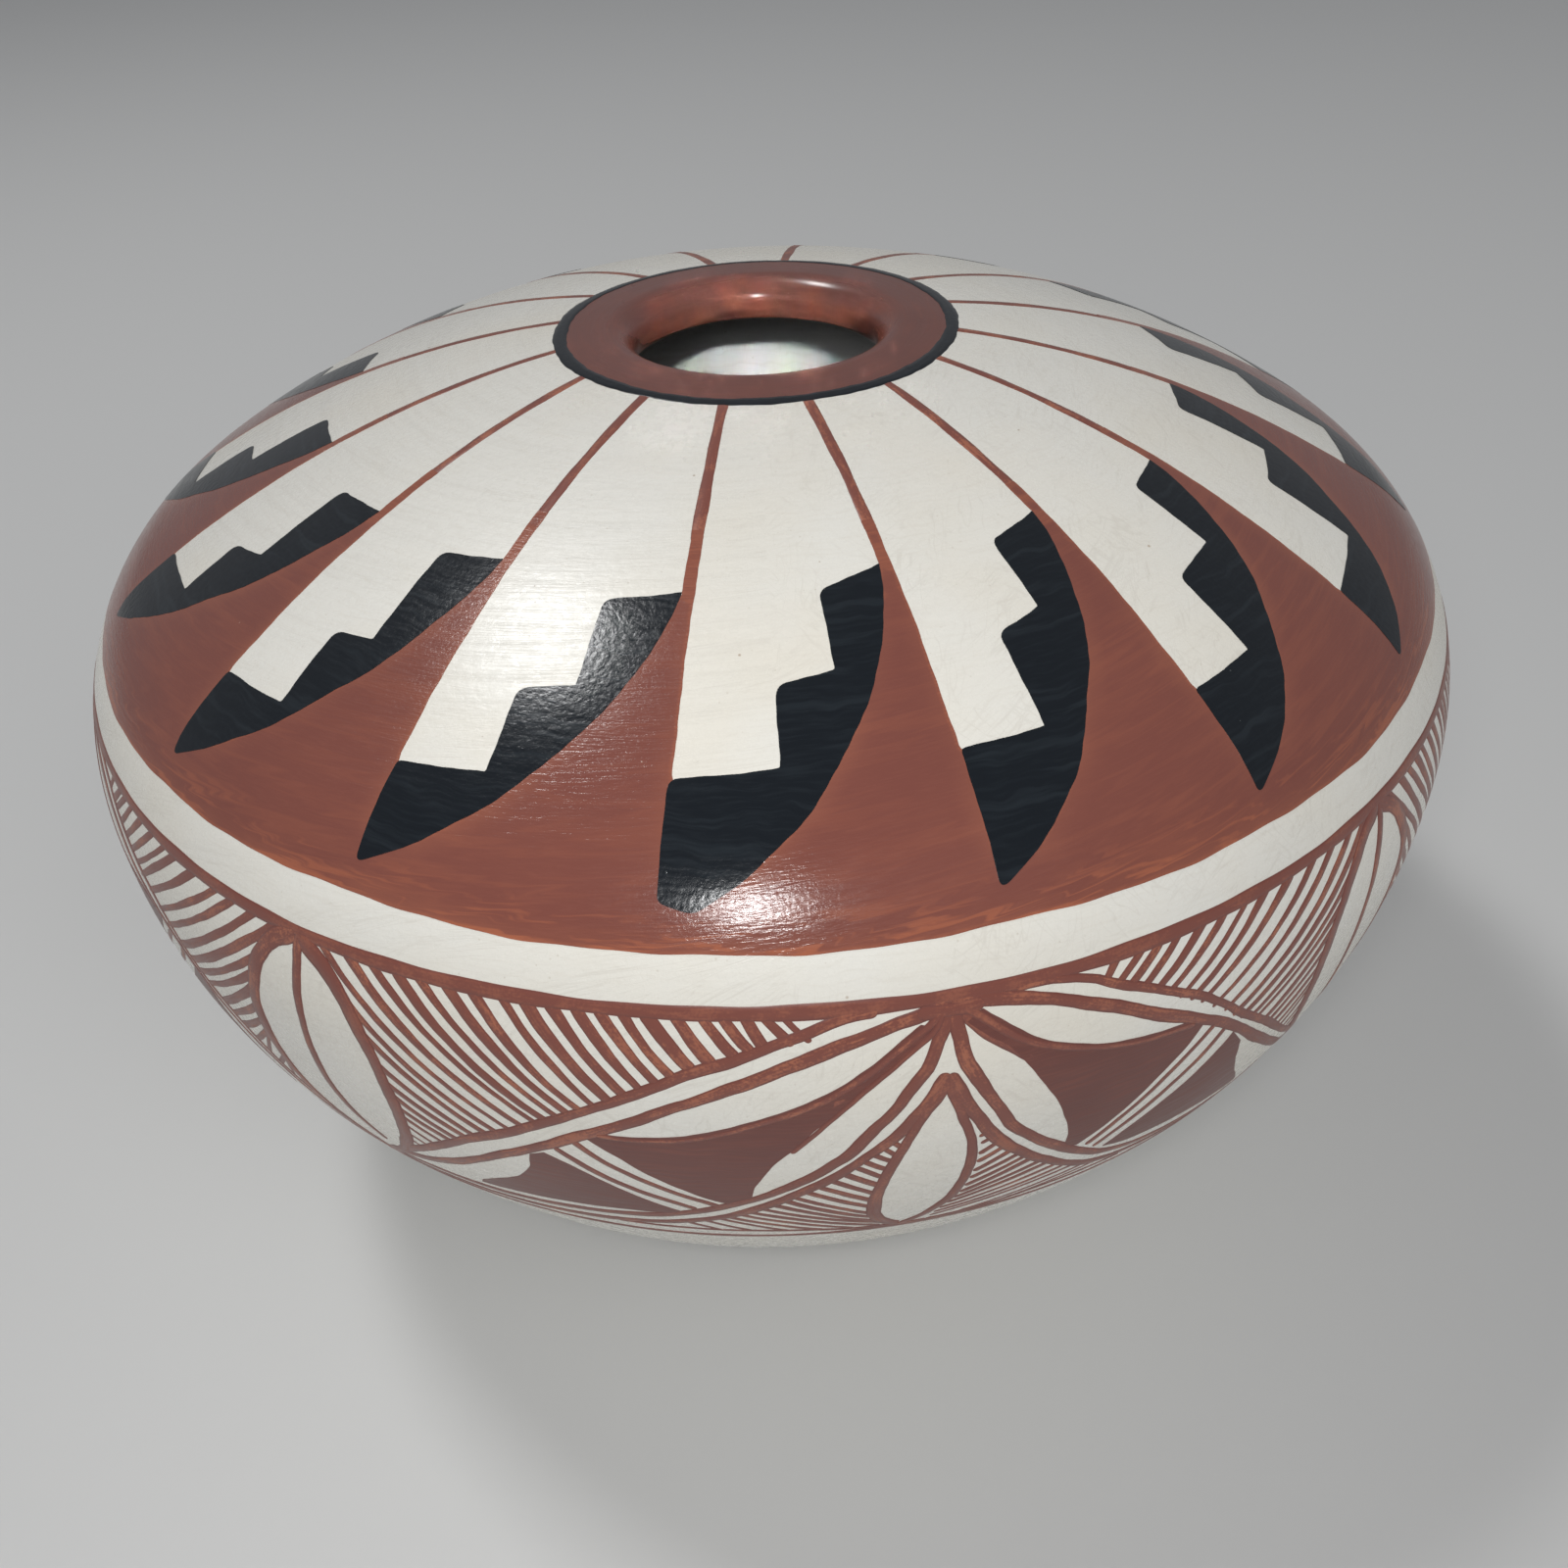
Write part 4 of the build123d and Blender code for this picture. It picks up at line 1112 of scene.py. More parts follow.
drop_sides = {
    "left": ((-0.1, 13.6), (-0.7, 16.9), (-1.3, 19.2), (-1.8, 21.4), (-2.2, 23.8), (-2.7, 27.2),
             (-3.1, 29.3), (-3.5, 32.2), (-3.8, 35.2), (-4.1, 38.3), (-4.2, 41.4), (-4.2, 44.2),
             (-4.2, 46.6), (-3.9, 49), (-3.5, 51.3), (-2.9, 53.4), (-2.2, 55)),
    "right": ((0, 13.8), (0.2, 16.8), (0.7, 19.6), (1, 22), (1.4, 25), (1.8, 29), (1.9, 32.8), (1.8, 36),
              (1.7, 39.1), (1.4, 42.3), (1.2, 44.7), (0.8, 47.1), (0.2, 49.5), (-0.4, 51.8), (-1.1, 53.7),
              (-1.9, 55.2)),
}
leaf_side = ((1.2, 0.2), (2.4, 0.9), (3.6, 1.8), (5.2, 2.6), (7.3, 3.3), (9.8, 4.0), (12.3, 4.5), (14.8, 4.9),
             (17.4, 5.2), (20, 5.4), (23.5, 5.5), (27, 5.5), (30.5, 5.45), (33.5, 5.3), (36.6, 5), (39.6, 4.6),
             (42.6, 3.9), (45.7, 3.1), (48.4, 2.1), (50.6, 0.95), (52.6, 0.4), (54.6, 0.15), (56.4, 0.05))
leaf_midrib = ((1.5, 0.3), (7.3, 0), (11.5, -0.25), (17, -0.5), (24, -0.68), (29, -0.65), (34.4, -0.45), (39, 0),
               (42.5, 0.6), (46, 1.3))
print("hatch strokes in one fan:", sum(len(fan_drawing[side]["strokes"]) for side in fan_drawing))

# %% [markdown]
# A fan's ribs spring from one root under the upper border. Strokes that lie over one another there
# are lifted a few hundredths of a millimetre more, each over the one before.

# %% Pull the ribs of the fans
rib_table = {       # width and taper
    "upper_rib": (1.9, (0.9, 1.0)), "lower_rib": (1.85, (1.15, 0.95)), "ray_rib": (1.7, (1.2, 0.95)),
    "inner_arch": (1.9, (1.1, 0.85)), "floor_rib": (1.2, (1.0, 0.7))}
vein_width = {"left": {"vein": 1.35, "petal_line": 1.0}, "right": {"vein": 1.35}}
right_upper_width = 1.5
fan_root = (0.35, 2.7)
root_knot = ((-1.9, 2.9), (0.0, 3.1), (2.2, 2.8))
rib_lines = []


def add_rib(half, path, width, number, **looks):
    rib_lines.append(brush_line(on_frieze(half, path), width, 1000 + 50 * half[2] + number, **looks))


for half in half_fans:
    side = half[3]
    drawing = fan_drawing[side]
    for number, (label, (width, taper)) in enumerate(rib_table.items()):
        width = right_upper_width if (label, side) == ("upper_rib", "right") else width
        add_rib(half, drawing[label], width, number, lift=0.018 + 0.002 * number, taper=taper, wander=0.09)
    for number, (label, width) in enumerate(vein_width[side].items()):
        add_rib(half, (fan_root, *drawing[label]), width, 20 + number, lift=0.046 + 0.003 * number,
                taper=(0.9, 0.7))
    between_lines = (np.array(drawing["vein"][:5]) + np.array(drawing["petal_line"][:5])) / 2
    add_rib(half, (fan_root, *between_lines), 2.1, 30, lift=-0.012, taper=(0.8, 1.1))
    if side == "right":
        add_rib(half, root_knot, 2.3, 40, lift=0.05, wander=0.05)
fan_ribs = make_piece("fan_ribs", *joined_arrays(rib_lines))
print("rib faces:", len(fan_ribs.data.polygons))

# %% Fill the red fields between the petals
frieze_mm = 2.13        # the length of one degree of turn at the frieze
fan_field_lift = 0.055


def drawn_loop(half, labels, seed):
    """A closed loop of smooth hand-drawn parts, each with sharp ends."""
    scale = np.array([frieze_mm, 1.0])
    found = []
    for number, label in enumerate(labels):
        flat = smooth_through(on_frieze(half, fan_drawing[half[3]][label]) * scale, 0.7)
        found.append(by_hand(flat, 0.07, seed + number, hold=1.5))
    loop = np.vstack(found) / scale
    gap = np.hypot(*(loop - np.roll(loop, 1, 0)).T)
    return loop[gap > 0.02]


fields = []
for half in half_fans:
    seed = 2000 + 50 * half[2]
    for labels, shift in ((("petal_underside", "field_stripe_edge", "petal_side"), 0),
                          (("outer_stripe_edge", "outer_floor", "outer_petal"), 10)):
        loop = drawn_loop(half, labels, seed + shift)
        fields.append(film_arrays(loop, frieze_mm, slip_top + fan_field_lift, pitch=1.9))
fan_fields = make_piece("fan_field_paint", *joined_arrays(fields))
print("field faces:", len(fan_fields.data.polygons))

# %% Draw the stripes, the drops and the leaves
stripe_lines, drop_lines, leaf_lines = [], [], []
for half in half_fans:
    for number, label in enumerate(("first_stripe", "second_stripe")):
        path = on_frieze(half, fan_drawing[half[3]][label])
        stripe_lines.append(brush_line(path, 1.2, 3000 + 50 * half[2] + number, lift=-0.005 + 0.003 * number,
                                       wander=0.06))
for number, fan_turn in enumerate(fan_turns):
    for step, (side, width, taper) in enumerate((("left", 2.0, (0.75, 1.1)), ("right", 1.7, (0.85, 1.05)))):
        path = [(fan_turn + degrees, frieze_run + down) for degrees, down in drop_sides[side]]
        drop_lines.append(brush_line(path, width, 3500 + 10 * number + step, lift=0.03, taper=taper, wander=0.09))
for number, leaf_turn in enumerate(leaf_turns):
    for side in (-1, 1):
        path = [(leaf_turn + side * degrees, frieze_run + down) for down, degrees in leaf_side]
        leaf_lines.append(brush_line(path, 2.2, 3700 + 10 * number + side, lift=0.034, taper=(1.3, 0.85),
                                     wander=0.12))
    midrib = [(leaf_turn + degrees, frieze_run + down) for down, degrees in leaf_midrib]
    leaf_lines.append(brush_line(midrib, 1.5, 3705 + 10 * number, lift=0.03, taper=(1.1, 0.95), wander=0.09))
fan_stripes = make_piece("fan_stripes", *joined_arrays(stripe_lines))
fan_drops = make_piece("fan_drops", *joined_arrays(drop_lines))
leaf_outlines = make_piece("leaf_brush_lines", *joined_arrays(leaf_lines))
print("stripes, drops and leaves:", len(stripe_lines), len(drop_lines), len(leaf_lines))

# %% [markdown]
# The fine hatching fills the corners above each fan and beside each drop. Every stroke is one pull
# of the brush from the outer line to the inner one. The upper ones are a little bowed. Each holds
# its own load of paint, so that some are dark and some thin and orange. A stroke that was measured
# short or long is walked along its own way until it starts on the border or on the leaf's side.

# %% Pull the hatching
stroke_shift = 0.16
start_overlap = 0.9
end_overlap = {"left": 0.7, "right": 0.05}
walk_step, most_steps = 0.3, 40
on_the_border, on_the_leaf = 1.2, 0.1
leaf_downs, leaf_widths = zip(*leaf_side)


def hatch(label, first_seed, bow, fuller):
    """The strokes of one kind in all the fans. The front fan's keep their places, the others' shift a little."""
    found = []
    for half in half_fans:
        draw = np.random.default_rng(first_seed + half[2])
        side = half[3]
        squeeze = abs(half[1] - half[0]) / seen_room[side]
        for number, (a, b, c, d, start_width, end_width) in enumerate(fan_drawing[side][label]):
            shift = draw.normal(0, stroke_shift, 2) * (half[2] >= 10)
            start, end = np.array([a + shift[0], b]), np.array([c + shift[1], d])
            across, down = end - start
            middle = (start + end) / 2 + np.array([down / frieze_mm, -across * frieze_mm]) * draw.normal(bow, 0.004)
            pull = (end - start) / math.hypot(across * frieze_mm, down)
            start, end = start - pull * start_overlap, end + pull * end_overlap[side]
            for _ in range(most_steps if label == "strokes" else 0):
                leaf_half = np.interp(start[1], leaf_downs, leaf_widths) / squeeze
                leaf_edge = seen_room[side] - leaf_half - on_the_leaf
                if start[1] > on_the_border and start[0] < leaf_edge:
                    start = start - pull * walk_step
                elif start[0] > leaf_edge + walk_step:
                    start = start + pull * walk_step
            width = (start_width + end_width) / 2 * draw.uniform(0.97, 1.08) * fuller
            taper = fuller * start_width / width, fuller * end_width / width
            found.append(brush_line(on_frieze(half, [start, middle, end]), width,
                                    first_seed + 60 * half[2] + number, lift=-0.012 + 0.002 * (number % 4),
                                    taper=taper, wander=0.06, load=draw.uniform(0, 1)))
    return found


upper_strokes = hatch("strokes", 5000, 0.022, 1.2)
drop_strokes = hatch("drop_strokes", 9000, 0.0, 1.1)
upper_hatching = make_piece("upper_hatching", *joined_arrays(upper_strokes))
drop_hatching = make_piece("drop_hatching", *joined_arrays(drop_strokes))
print("hatching:", len(upper_strokes), "strokes above the fans,", len(drop_strokes), "beside the drops")

# %% [markdown]
# ## Finishes
# Slip and mineral paint are thin clay coats that were rubbed with a smooth stone before the firing.
# Close up they show five things: the brush's pulled streaks, the stone's fine rubbing marks, the
# grains and pits of the clay, broad uneven tones, and the way paint thins to orange where the
# brush held little. Each of the five is one group of nodes, made once and placed in every finish
# with its own numbers, so that the whole jar looks as if one hand made it.

# %% Join nodes in few words


def join(tree, value, socket):
    """Links an output to a socket, or writes a number or a colour on it."""
    if isinstance(value, bpy.types.NodeSocket):
        tree.links.new(value, socket)
    elif socket.type == "RGBA":
        socket.default_value = (*value, 1.0)
    else:
        socket.default_value = value


def add(tree, kind, inputs, out=0, **options):
    """Adds a node, sets its options, joins its inputs by name or number, and gives back one output."""
    node = tree.nodes.new("ShaderNode" + kind)
    for option, choice in options.items():
        setattr(node, option, choice)
    for key, value in inputs.items():
        join(tree, value, node.inputs[key])
    return node.outputs[out]


def work_out(tree, operation, *values):
    return add(tree, "Math", dict(enumerate(values)), operation=operation)


def times(tree, first, second):
    return work_out(tree, "MULTIPLY", first, second)


def per_metre(tree, size):
    """How often a size in millimetres fits in a metre, which is what a texture's scale counts."""
    return work_out(tree, "DIVIDE", 1 / MM, size)


def between(tree, value, low, high, to_low=0.0, to_high=1.0):
    """A value stretched from one span to another and held at its ends."""
    return add(tree, "MapRange", {"Value": value, "From Min": low, "From Max": high, "To Min": to_low,
                                  "To Max": to_high})


def blend(tree, share, first, second):
    return add(tree, "Mix", {0: share, 6: first, 7: second}, out=2, data_type="RGBA")


def start_group(name, inputs, outputs):
    """An empty group. inputs gives each name its usual value, outputs gives each name its kind."""
    group = bpy.data.node_groups.new(name, "ShaderNodeTree")
    for label, value in inputs.items():
        kind = "Color" if isinstance(value, tuple) else "Float"
        socket = group.interface.new_socket(label, in_out="INPUT", socket_type="NodeSocket" + kind)
        socket.default_value = (*value, 1.0) if kind == "Color" else value
    for label, kind in outputs.items():
        group.interface.new_socket(label, in_out="OUTPUT", socket_type="NodeSocket" + kind)
    return group, group.nodes.new("NodeGroupInput").outputs, group.nodes.new("NodeGroupOutput").inputs


def place_group(tree, group, **values):
    """Places a group in a finish with its own values, and gives back all its outputs."""
    node = tree.nodes.new("ShaderNodeGroup")
    node.node_tree = group
    for label, value in values.items():
        join(tree, value, node.inputs[label])
    return node.outputs


print("helpers for nodes are ready")

# %% Group 1, the streaks that a brush pulls
# The brush map is in metres, so a streak's length and width are plain millimetres. The map is
# pushed sideways a little by a slow noise first, because no hand pulls a straight streak.
pulled_streaks, given, shown = start_group(
    "pulled_streaks", {"length": 12.0, "width": 0.8, "sway": 0.5}, {"streak": "Float"})
brush_map = add(pulled_streaks, "UVMap", {}, uv_map="brush")
slow = add(pulled_streaks, "TexNoise", {"Vector": brush_map, "Scale": 170.0, "Detail": 1.0}, noise_dimensions="2D")
push = times(pulled_streaks, work_out(pulled_streaks, "SUBTRACT", slow, 0.5),
                times(pulled_streaks, given["sway"], 2 * MM))
swayed = add(pulled_streaks, "VectorMath", {0: brush_map, 1: add(pulled_streaks, "CombineXYZ", {1: push})},
             operation="ADD")
density = add(pulled_streaks, "CombineXYZ", {0: per_metre(pulled_streaks, given["length"]),
                                             1: per_metre(pulled_streaks, given["width"])})
stretched = add(pulled_streaks, "VectorMath", {0: swayed, 1: density}, operation="MULTIPLY")
grain = add(pulled_streaks, "TexNoise", {"Vector": stretched, "Scale": 1.0, "Detail": 2.5, "Roughness": 0.6},
            noise_dimensions="2D")
join(pulled_streaks, between(pulled_streaks, grain, 0.28, 0.72), shown["streak"])
print("group:", pulled_streaks.name)

# %% Group 2, the marks of the rubbing stone
# A fine line appears where a stretched noise crosses its middle value. The lines lean by an angle,
# and a slow noise keeps them to patches, as on a surface rubbed a hand's width at a time.
rubbing_marks, given, shown = start_group(
    "rubbing_marks", {"angle": 0.7, "length": 16.0, "spacing": 1.4, "thickness": 0.03, "patch": 15.0},
    {"mark": "Float"})
brush_map = add(rubbing_marks, "UVMap", {}, uv_map="brush")
leaning = add(rubbing_marks, "VectorRotate", {"Vector": brush_map, "Angle": given["angle"]}, rotation_type="Z_AXIS")
density = add(rubbing_marks, "CombineXYZ", {0: per_metre(rubbing_marks, given["length"]),
                                            1: per_metre(rubbing_marks, given["spacing"])})
stretched = add(rubbing_marks, "VectorMath", {0: leaning, 1: density}, operation="MULTIPLY")
grain = add(rubbing_marks, "TexNoise", {"Vector": stretched, "Scale": 1.0, "Detail": 1.0}, noise_dimensions="2D")
from_middle = work_out(rubbing_marks, "ABSOLUTE", work_out(rubbing_marks, "SUBTRACT", grain, 0.5))
thin_line = between(rubbing_marks, from_middle, 0.0, given["thickness"], 1.0, 0.0)
slow = add(rubbing_marks, "TexNoise", {"Vector": leaning, "Scale": per_metre(rubbing_marks, given["patch"])},
           noise_dimensions="2D")
join(rubbing_marks, times(rubbing_marks, thin_line, between(rubbing_marks, slow, 0.45, 0.6)),
     shown["mark"])
print("group:", rubbing_marks.name)

# %% Group 3, grains and pits
# The jar's own space is cut into cells. A share of the cells holds one round grain, each with its
# own size and its own tone.
grains_and_pits, given, shown = start_group(
    "grains_and_pits", {"spacing": 4.0, "size": 0.25, "share": 0.4}, {"grain": "Float", "tone": "Float"})
jar_space = add(grains_and_pits, "TexCoord", {}, out="Object")
cells = grains_and_pits.nodes.new("ShaderNodeTexVoronoi")
join(grains_and_pits, jar_space, cells.inputs["Vector"])
join(grains_and_pits, per_metre(grains_and_pits, given["spacing"]), cells.inputs["Scale"])
chance = add(grains_and_pits, "SeparateColor", {"Color": cells.outputs["Color"]})
chances = chance.node.outputs
away = times(grains_and_pits, cells.outputs["Distance"], given["spacing"])
reach = times(grains_and_pits, given["size"], between(grains_and_pits, chances[1], 0.0, 1.0, 0.35, 1.0))
inside_grain = between(grains_and_pits, away, times(grains_and_pits, reach, 0.6), reach, 1.0, 0.0)
chosen = work_out(grains_and_pits, "LESS_THAN", chances[0], given["share"])
join(grains_and_pits, times(grains_and_pits, inside_grain, chosen), shown["grain"])
join(grains_and_pits, chances[2], shown["tone"])
print("group:", grains_and_pits.name)

# %% Group 4, broad uneven tones
broad_tones, given, shown = start_group("broad_tones", {"size": 20.0, "low": 0.35, "high": 0.65}, {"tone": "Float"})
jar_space = add(broad_tones, "TexCoord", {}, out="Object")
cloud = add(broad_tones, "TexNoise", {"Vector": jar_space, "Scale": per_metre(broad_tones, given["size"]),
                                      "Detail": 3.0, "Roughness": 0.55})
join(broad_tones, between(broad_tones, cloud, given["low"], given["high"]), shown["tone"])
print("group:", broad_tones.name)

# %% Group 5, paint that thins to orange
# load says how much paint this pull of the brush held, and rim how far the paint's edge is. Thin
# paint shows along the streaks of a poorly loaded stroke. The edge takes a colour of its own: dark
# where a stroke's paint gathered, orange where a wide field was cut in with little paint.
paint_tone, given, shown = start_group(
    "paint_tone", {"full": (0.2, 0.065, 0.045), "thin": (0.36, 0.12, 0.06), "edge": (0.15, 0.045, 0.035),
                   "streak": 0.5, "thinness": 0.5, "edge_width": 0.3, "edge_strength": 0.7},
    {"colour": "Color", "thin_share": "Float"})
load = add(paint_tone, "Attribute", {}, out="Fac", attribute_name="load")
rim = add(paint_tone, "Attribute", {}, out="Fac", attribute_name="rim")
hunger = times(paint_tone, between(paint_tone, load, 0.0, 1.0, 1.6, 0.35), given["thinness"])
from_streak = between(paint_tone, given["streak"], 0.42, 0.95)
thin_share = work_out(paint_tone, "MINIMUM", times(paint_tone, from_streak, hunger), 1.0)
middle_colour = blend(paint_tone, thin_share, given["full"], given["thin"])
at_edge = between(paint_tone, rim, times(paint_tone, given["edge_width"], 0.35), given["edge_width"], 1.0, 0.0)
at_edge = times(paint_tone, at_edge, given["edge_strength"])
join(paint_tone, blend(paint_tone, at_edge, middle_colour, given["edge"]), shown["colour"])
join(paint_tone, thin_share, shown["thin_share"])
print("group:", paint_tone.name)

# %% Start a finish and raise its surface


def start_finish(name):
    """A material with its shader, ready for nodes."""
    material = bpy.data.materials.new(name)
    material.use_nodes = True
    return material, material.node_tree, material.node_tree.nodes["Principled BSDF"].inputs


def streaks(tree, length, width, sway):
    return place_group(tree, pulled_streaks, length=length, width=width, sway=sway)["streak"]


def tones(tree, size, low, high):
    return place_group(tree, broad_tones, size=size, low=low, high=high)["tone"]


def raise_surface(tree, shader, *layers):
    """Bumps laid one over another. A layer is a height from 0 to 1 and what 1 means in millimetres."""
    normal = None
    for height, depth in layers:
        inputs = {"Height": height, "Distance": abs(depth) * MM, "Strength": 1.0}
        if normal is not None:
            inputs["Normal"] = normal
        normal = add(tree, "Bump", inputs, invert=depth < 0)
    join(tree, normal, shader["Normal"])


print("finishes can be mixed")

# %% [markdown]
# Ivory slip is a fine pale clay in several thin coats. Its streaks run round the jar, rubbing marks
# cross them on the slant, a few brown grains came with the clay, and tiny pits catch the light.

# %% Mix the ivory slip
ivory, tree, shader = start_finish("ivory_slip")
fine = streaks(tree, length=9.0, width=0.55, sway=0.8)
wide = streaks(tree, length=26.0, width=2.2, sway=1.5)
slant = place_group(tree, rubbing_marks, angle=0.62, length=13.0, spacing=1.3, thickness=0.035, patch=13.0)["mark"]
cross = place_group(tree, rubbing_marks, angle=-0.85, length=10.0, spacing=1.7, thickness=0.03, patch=17.0)["mark"]
steep = place_group(tree, rubbing_marks, angle=1.45, length=9.0, spacing=1.9, thickness=0.025, patch=11.0)["mark"]
marks = work_out(tree, "MAXIMUM", work_out(tree, "MAXIMUM", slant, cross), steep)
specks = place_group(tree, grains_and_pits, spacing=5.5, size=0.36, share=0.34)
pits = place_group(tree, grains_and_pits, spacing=1.5, size=0.22, share=0.4)
cream = tones(tree, 34.0, 0.42, 0.72)
crackle = tones(tree, 1.3, 0.34, 0.66)
colour = blend(tree, times(tree, cream, 0.7), (0.755, 0.737, 0.678), (0.742, 0.700, 0.605))
colour = blend(tree, times(tree, between(tree, fine, 0.55, 1.0), 0.16), colour, (0.60, 0.55, 0.47))
colour = blend(tree, times(tree, between(tree, wide, 0.6, 1.0), 0.10), colour, (0.82, 0.79, 0.72))
colour = blend(tree, times(tree, marks, 0.24), colour, (0.50, 0.46, 0.40))
colour = blend(tree, times(tree, pits["grain"], 0.28), colour, (0.42, 0.36, 0.28))
speck_colour = blend(tree, specks["tone"], (0.16, 0.10, 0.06), (0.45, 0.33, 0.22))
join(tree, blend(tree, times(tree, specks["grain"], 0.7), colour, speck_colour), shader["Base Color"])
join(tree, between(tree, work_out(tree, "ADD", crackle, times(tree, marks, 0.5)), 0.0, 1.5, 0.23, 0.37),
     shader["Roughness"])
raise_surface(tree, shader, (fine, 0.006), (crackle, 0.014), (marks, -0.008), (pits["grain"], -0.006))
print("finish:", ivory.name)

# %% [markdown]
# Red slip is an iron-bearing clay. The wide field between the feathers was cut in with a thin line
# of paint beside black and ivory, which shows as a bright orange edge, and it was finished with
# pulls round the jar, which stay open at the hem so that orange shows between them.

# %% Mix the red of the shoulder
full_red, thin_orange, gathered_red = (0.198, 0.063, 0.046), (0.40, 0.125, 0.062), (0.150, 0.046, 0.036)
field_red, tree, shader = start_finish("red_shoulder_slip")
fine = streaks(tree, length=3.0, width=0.5, sway=0.6)
wide = streaks(tree, length=38.0, width=2.6, sway=2.0)
hem_pull = streaks(tree, length=17.0, width=1.0, sway=1.1)
net = tones(tree, 0.6, 0.34, 0.66)
patchy = tones(tree, 22.0, 0.38, 0.68)
specks = place_group(tree, grains_and_pits, spacing=3.6, size=0.20, share=0.35)
height = add(tree, "SeparateXYZ", {"Vector": add(tree, "TexCoord", {}, out="Object")}, out="Z")
hem_height = float(line_at(np.array([field_hem_run]))[1][0]) * MM
near_hem = between(tree, height, hem_height, hem_height + 5.5 * MM, 1.0, 0.0)
colour = place_group(tree, paint_tone, full=full_red, thin=(0.26, 0.083, 0.052), edge=thin_orange, streak=wide,
                     thinness=0.55, edge_width=0.62,
                     edge_strength=between(tree, fine, 0.15, 0.85, 0.25, 0.85))["colour"]
rim = add(tree, "Attribute", {}, out="Fac", attribute_name="rim")
cut_in = times(tree, between(tree, rim, 0.6, 2.9, 1.0, 0.0), between(tree, patchy, 0.0, 1.0, 0.65, 0.25))
colour = blend(tree, cut_in, colour, (0.27, 0.090, 0.056))
colour = blend(tree, times(tree, patchy, 0.35), colour, (0.165, 0.051, 0.040))
colour = blend(tree, times(tree, between(tree, fine, 0.5, 1.0), 0.12), colour, (0.27, 0.092, 0.062))
open_pull = times(tree, between(tree, hem_pull, 0.55, 0.85), near_hem)
colour = blend(tree, times(tree, open_pull, 0.7), colour, thin_orange)
speck_colour = blend(tree, specks["tone"], (0.05, 0.025, 0.02), (0.52, 0.34, 0.26))
join(tree, blend(tree, times(tree, specks["grain"], 0.55), colour, speck_colour), shader["Base Color"])
join(tree, between(tree, fine, 0.0, 1.0, 0.14, 0.22), shader["Roughness"])
raise_surface(tree, shader, (fine, 0.019), (net, 0.010), (specks["grain"], 0.015))
print("finish:", field_red.name)

# %% [markdown]
# Black is a mineral paint over the slip, laid thick. It is a little blue, its streaks are faint,
# and its surface is as smooth as the stone could make it, with fine waves that break a reflection.

# %% Mix the black paint
black_paint, tree, shader = start_finish("black_paint")
fine = streaks(tree, length=6.0, width=0.6, sway=0.8)
wide = streaks(tree, length=22.0, width=1.8, sway=1.2)
net = tones(tree, 1.0, 0.34, 0.66)
specks = place_group(tree, grains_and_pits, spacing=3.0, size=0.16, share=0.3)
colour = blend(tree, between(tree, fine, 0.45, 1.0), (0.0050, 0.0075, 0.0110), (0.0072, 0.0105, 0.0145))
colour = blend(tree, times(tree, between(tree, wide, 0.6, 1.0), 0.7), colour, (0.014, 0.019, 0.024))
join(tree, blend(tree, times(tree, specks["grain"], 0.5), colour, (0.11, 0.12, 0.12)),
     shader["Base Color"])
join(tree, between(tree, fine, 0.0, 1.0, 0.15, 0.24), shader["Roughness"])
join(tree, 0.4, shader["Specular IOR Level"])
raise_surface(tree, shader, (fine, 0.004), (net, 0.015), (specks["grain"], 0.012))
print("finish:", black_paint.name)

# %% [markdown]
# The brush lines, the hatching and the borders are single pulls. Their paint gathers dark along
# both edges and thins to orange down the middle, more so where the brush was running dry.

# %% Mix the red of the brush lines


def red_of_lines(name, thinness, streak_width, edge_width, edge_strength):
    """The red paint of single pulls. The finishes differ in how thin the paint was."""
    material, tree, shader = start_finish(name)
    fine = streaks(tree, length=6.5, width=streak_width, sway=0.35)
    uneven = tones(tree, 5.0, 0.36, 0.66)
    specks = place_group(tree, grains_and_pits, spacing=2.6, size=0.15, share=0.3)
    speckle = tones(tree, 0.4, 0.3, 0.7)
    streak = between(tree, work_out(tree, "ADD", work_out(tree, "ADD", fine, uneven), speckle), 0.8, 2.3)
    colour = place_group(tree, paint_tone, full=full_red, thin=(0.35, 0.122, 0.070), edge=gathered_red, streak=streak,
                         thinness=thinness, edge_width=edge_width, edge_strength=edge_strength)["colour"]
    join(tree, blend(tree, times(tree, specks["grain"], 0.45), colour, (0.46, 0.28, 0.20)),
         shader["Base Color"])
    join(tree, between(tree, fine, 0.0, 1.0, 0.30, 0.42), shader["Roughness"])
    raise_surface(tree, shader, (fine, 0.008), (uneven, 0.02))
    return material


line_red = red_of_lines("red_brush_lines", 0.9, 0.4, 0.34, 0.75)
ray_red = red_of_lines("red_ray_lines", 1.15, 0.5, 0.22, 0.5)
hatch_red = red_of_lines("red_hatching", 0.75, 0.45, 0.25, 0.6)
border_red = red_of_lines("red_border_lines", 0.45, 0.6, 0.35, 0.6)
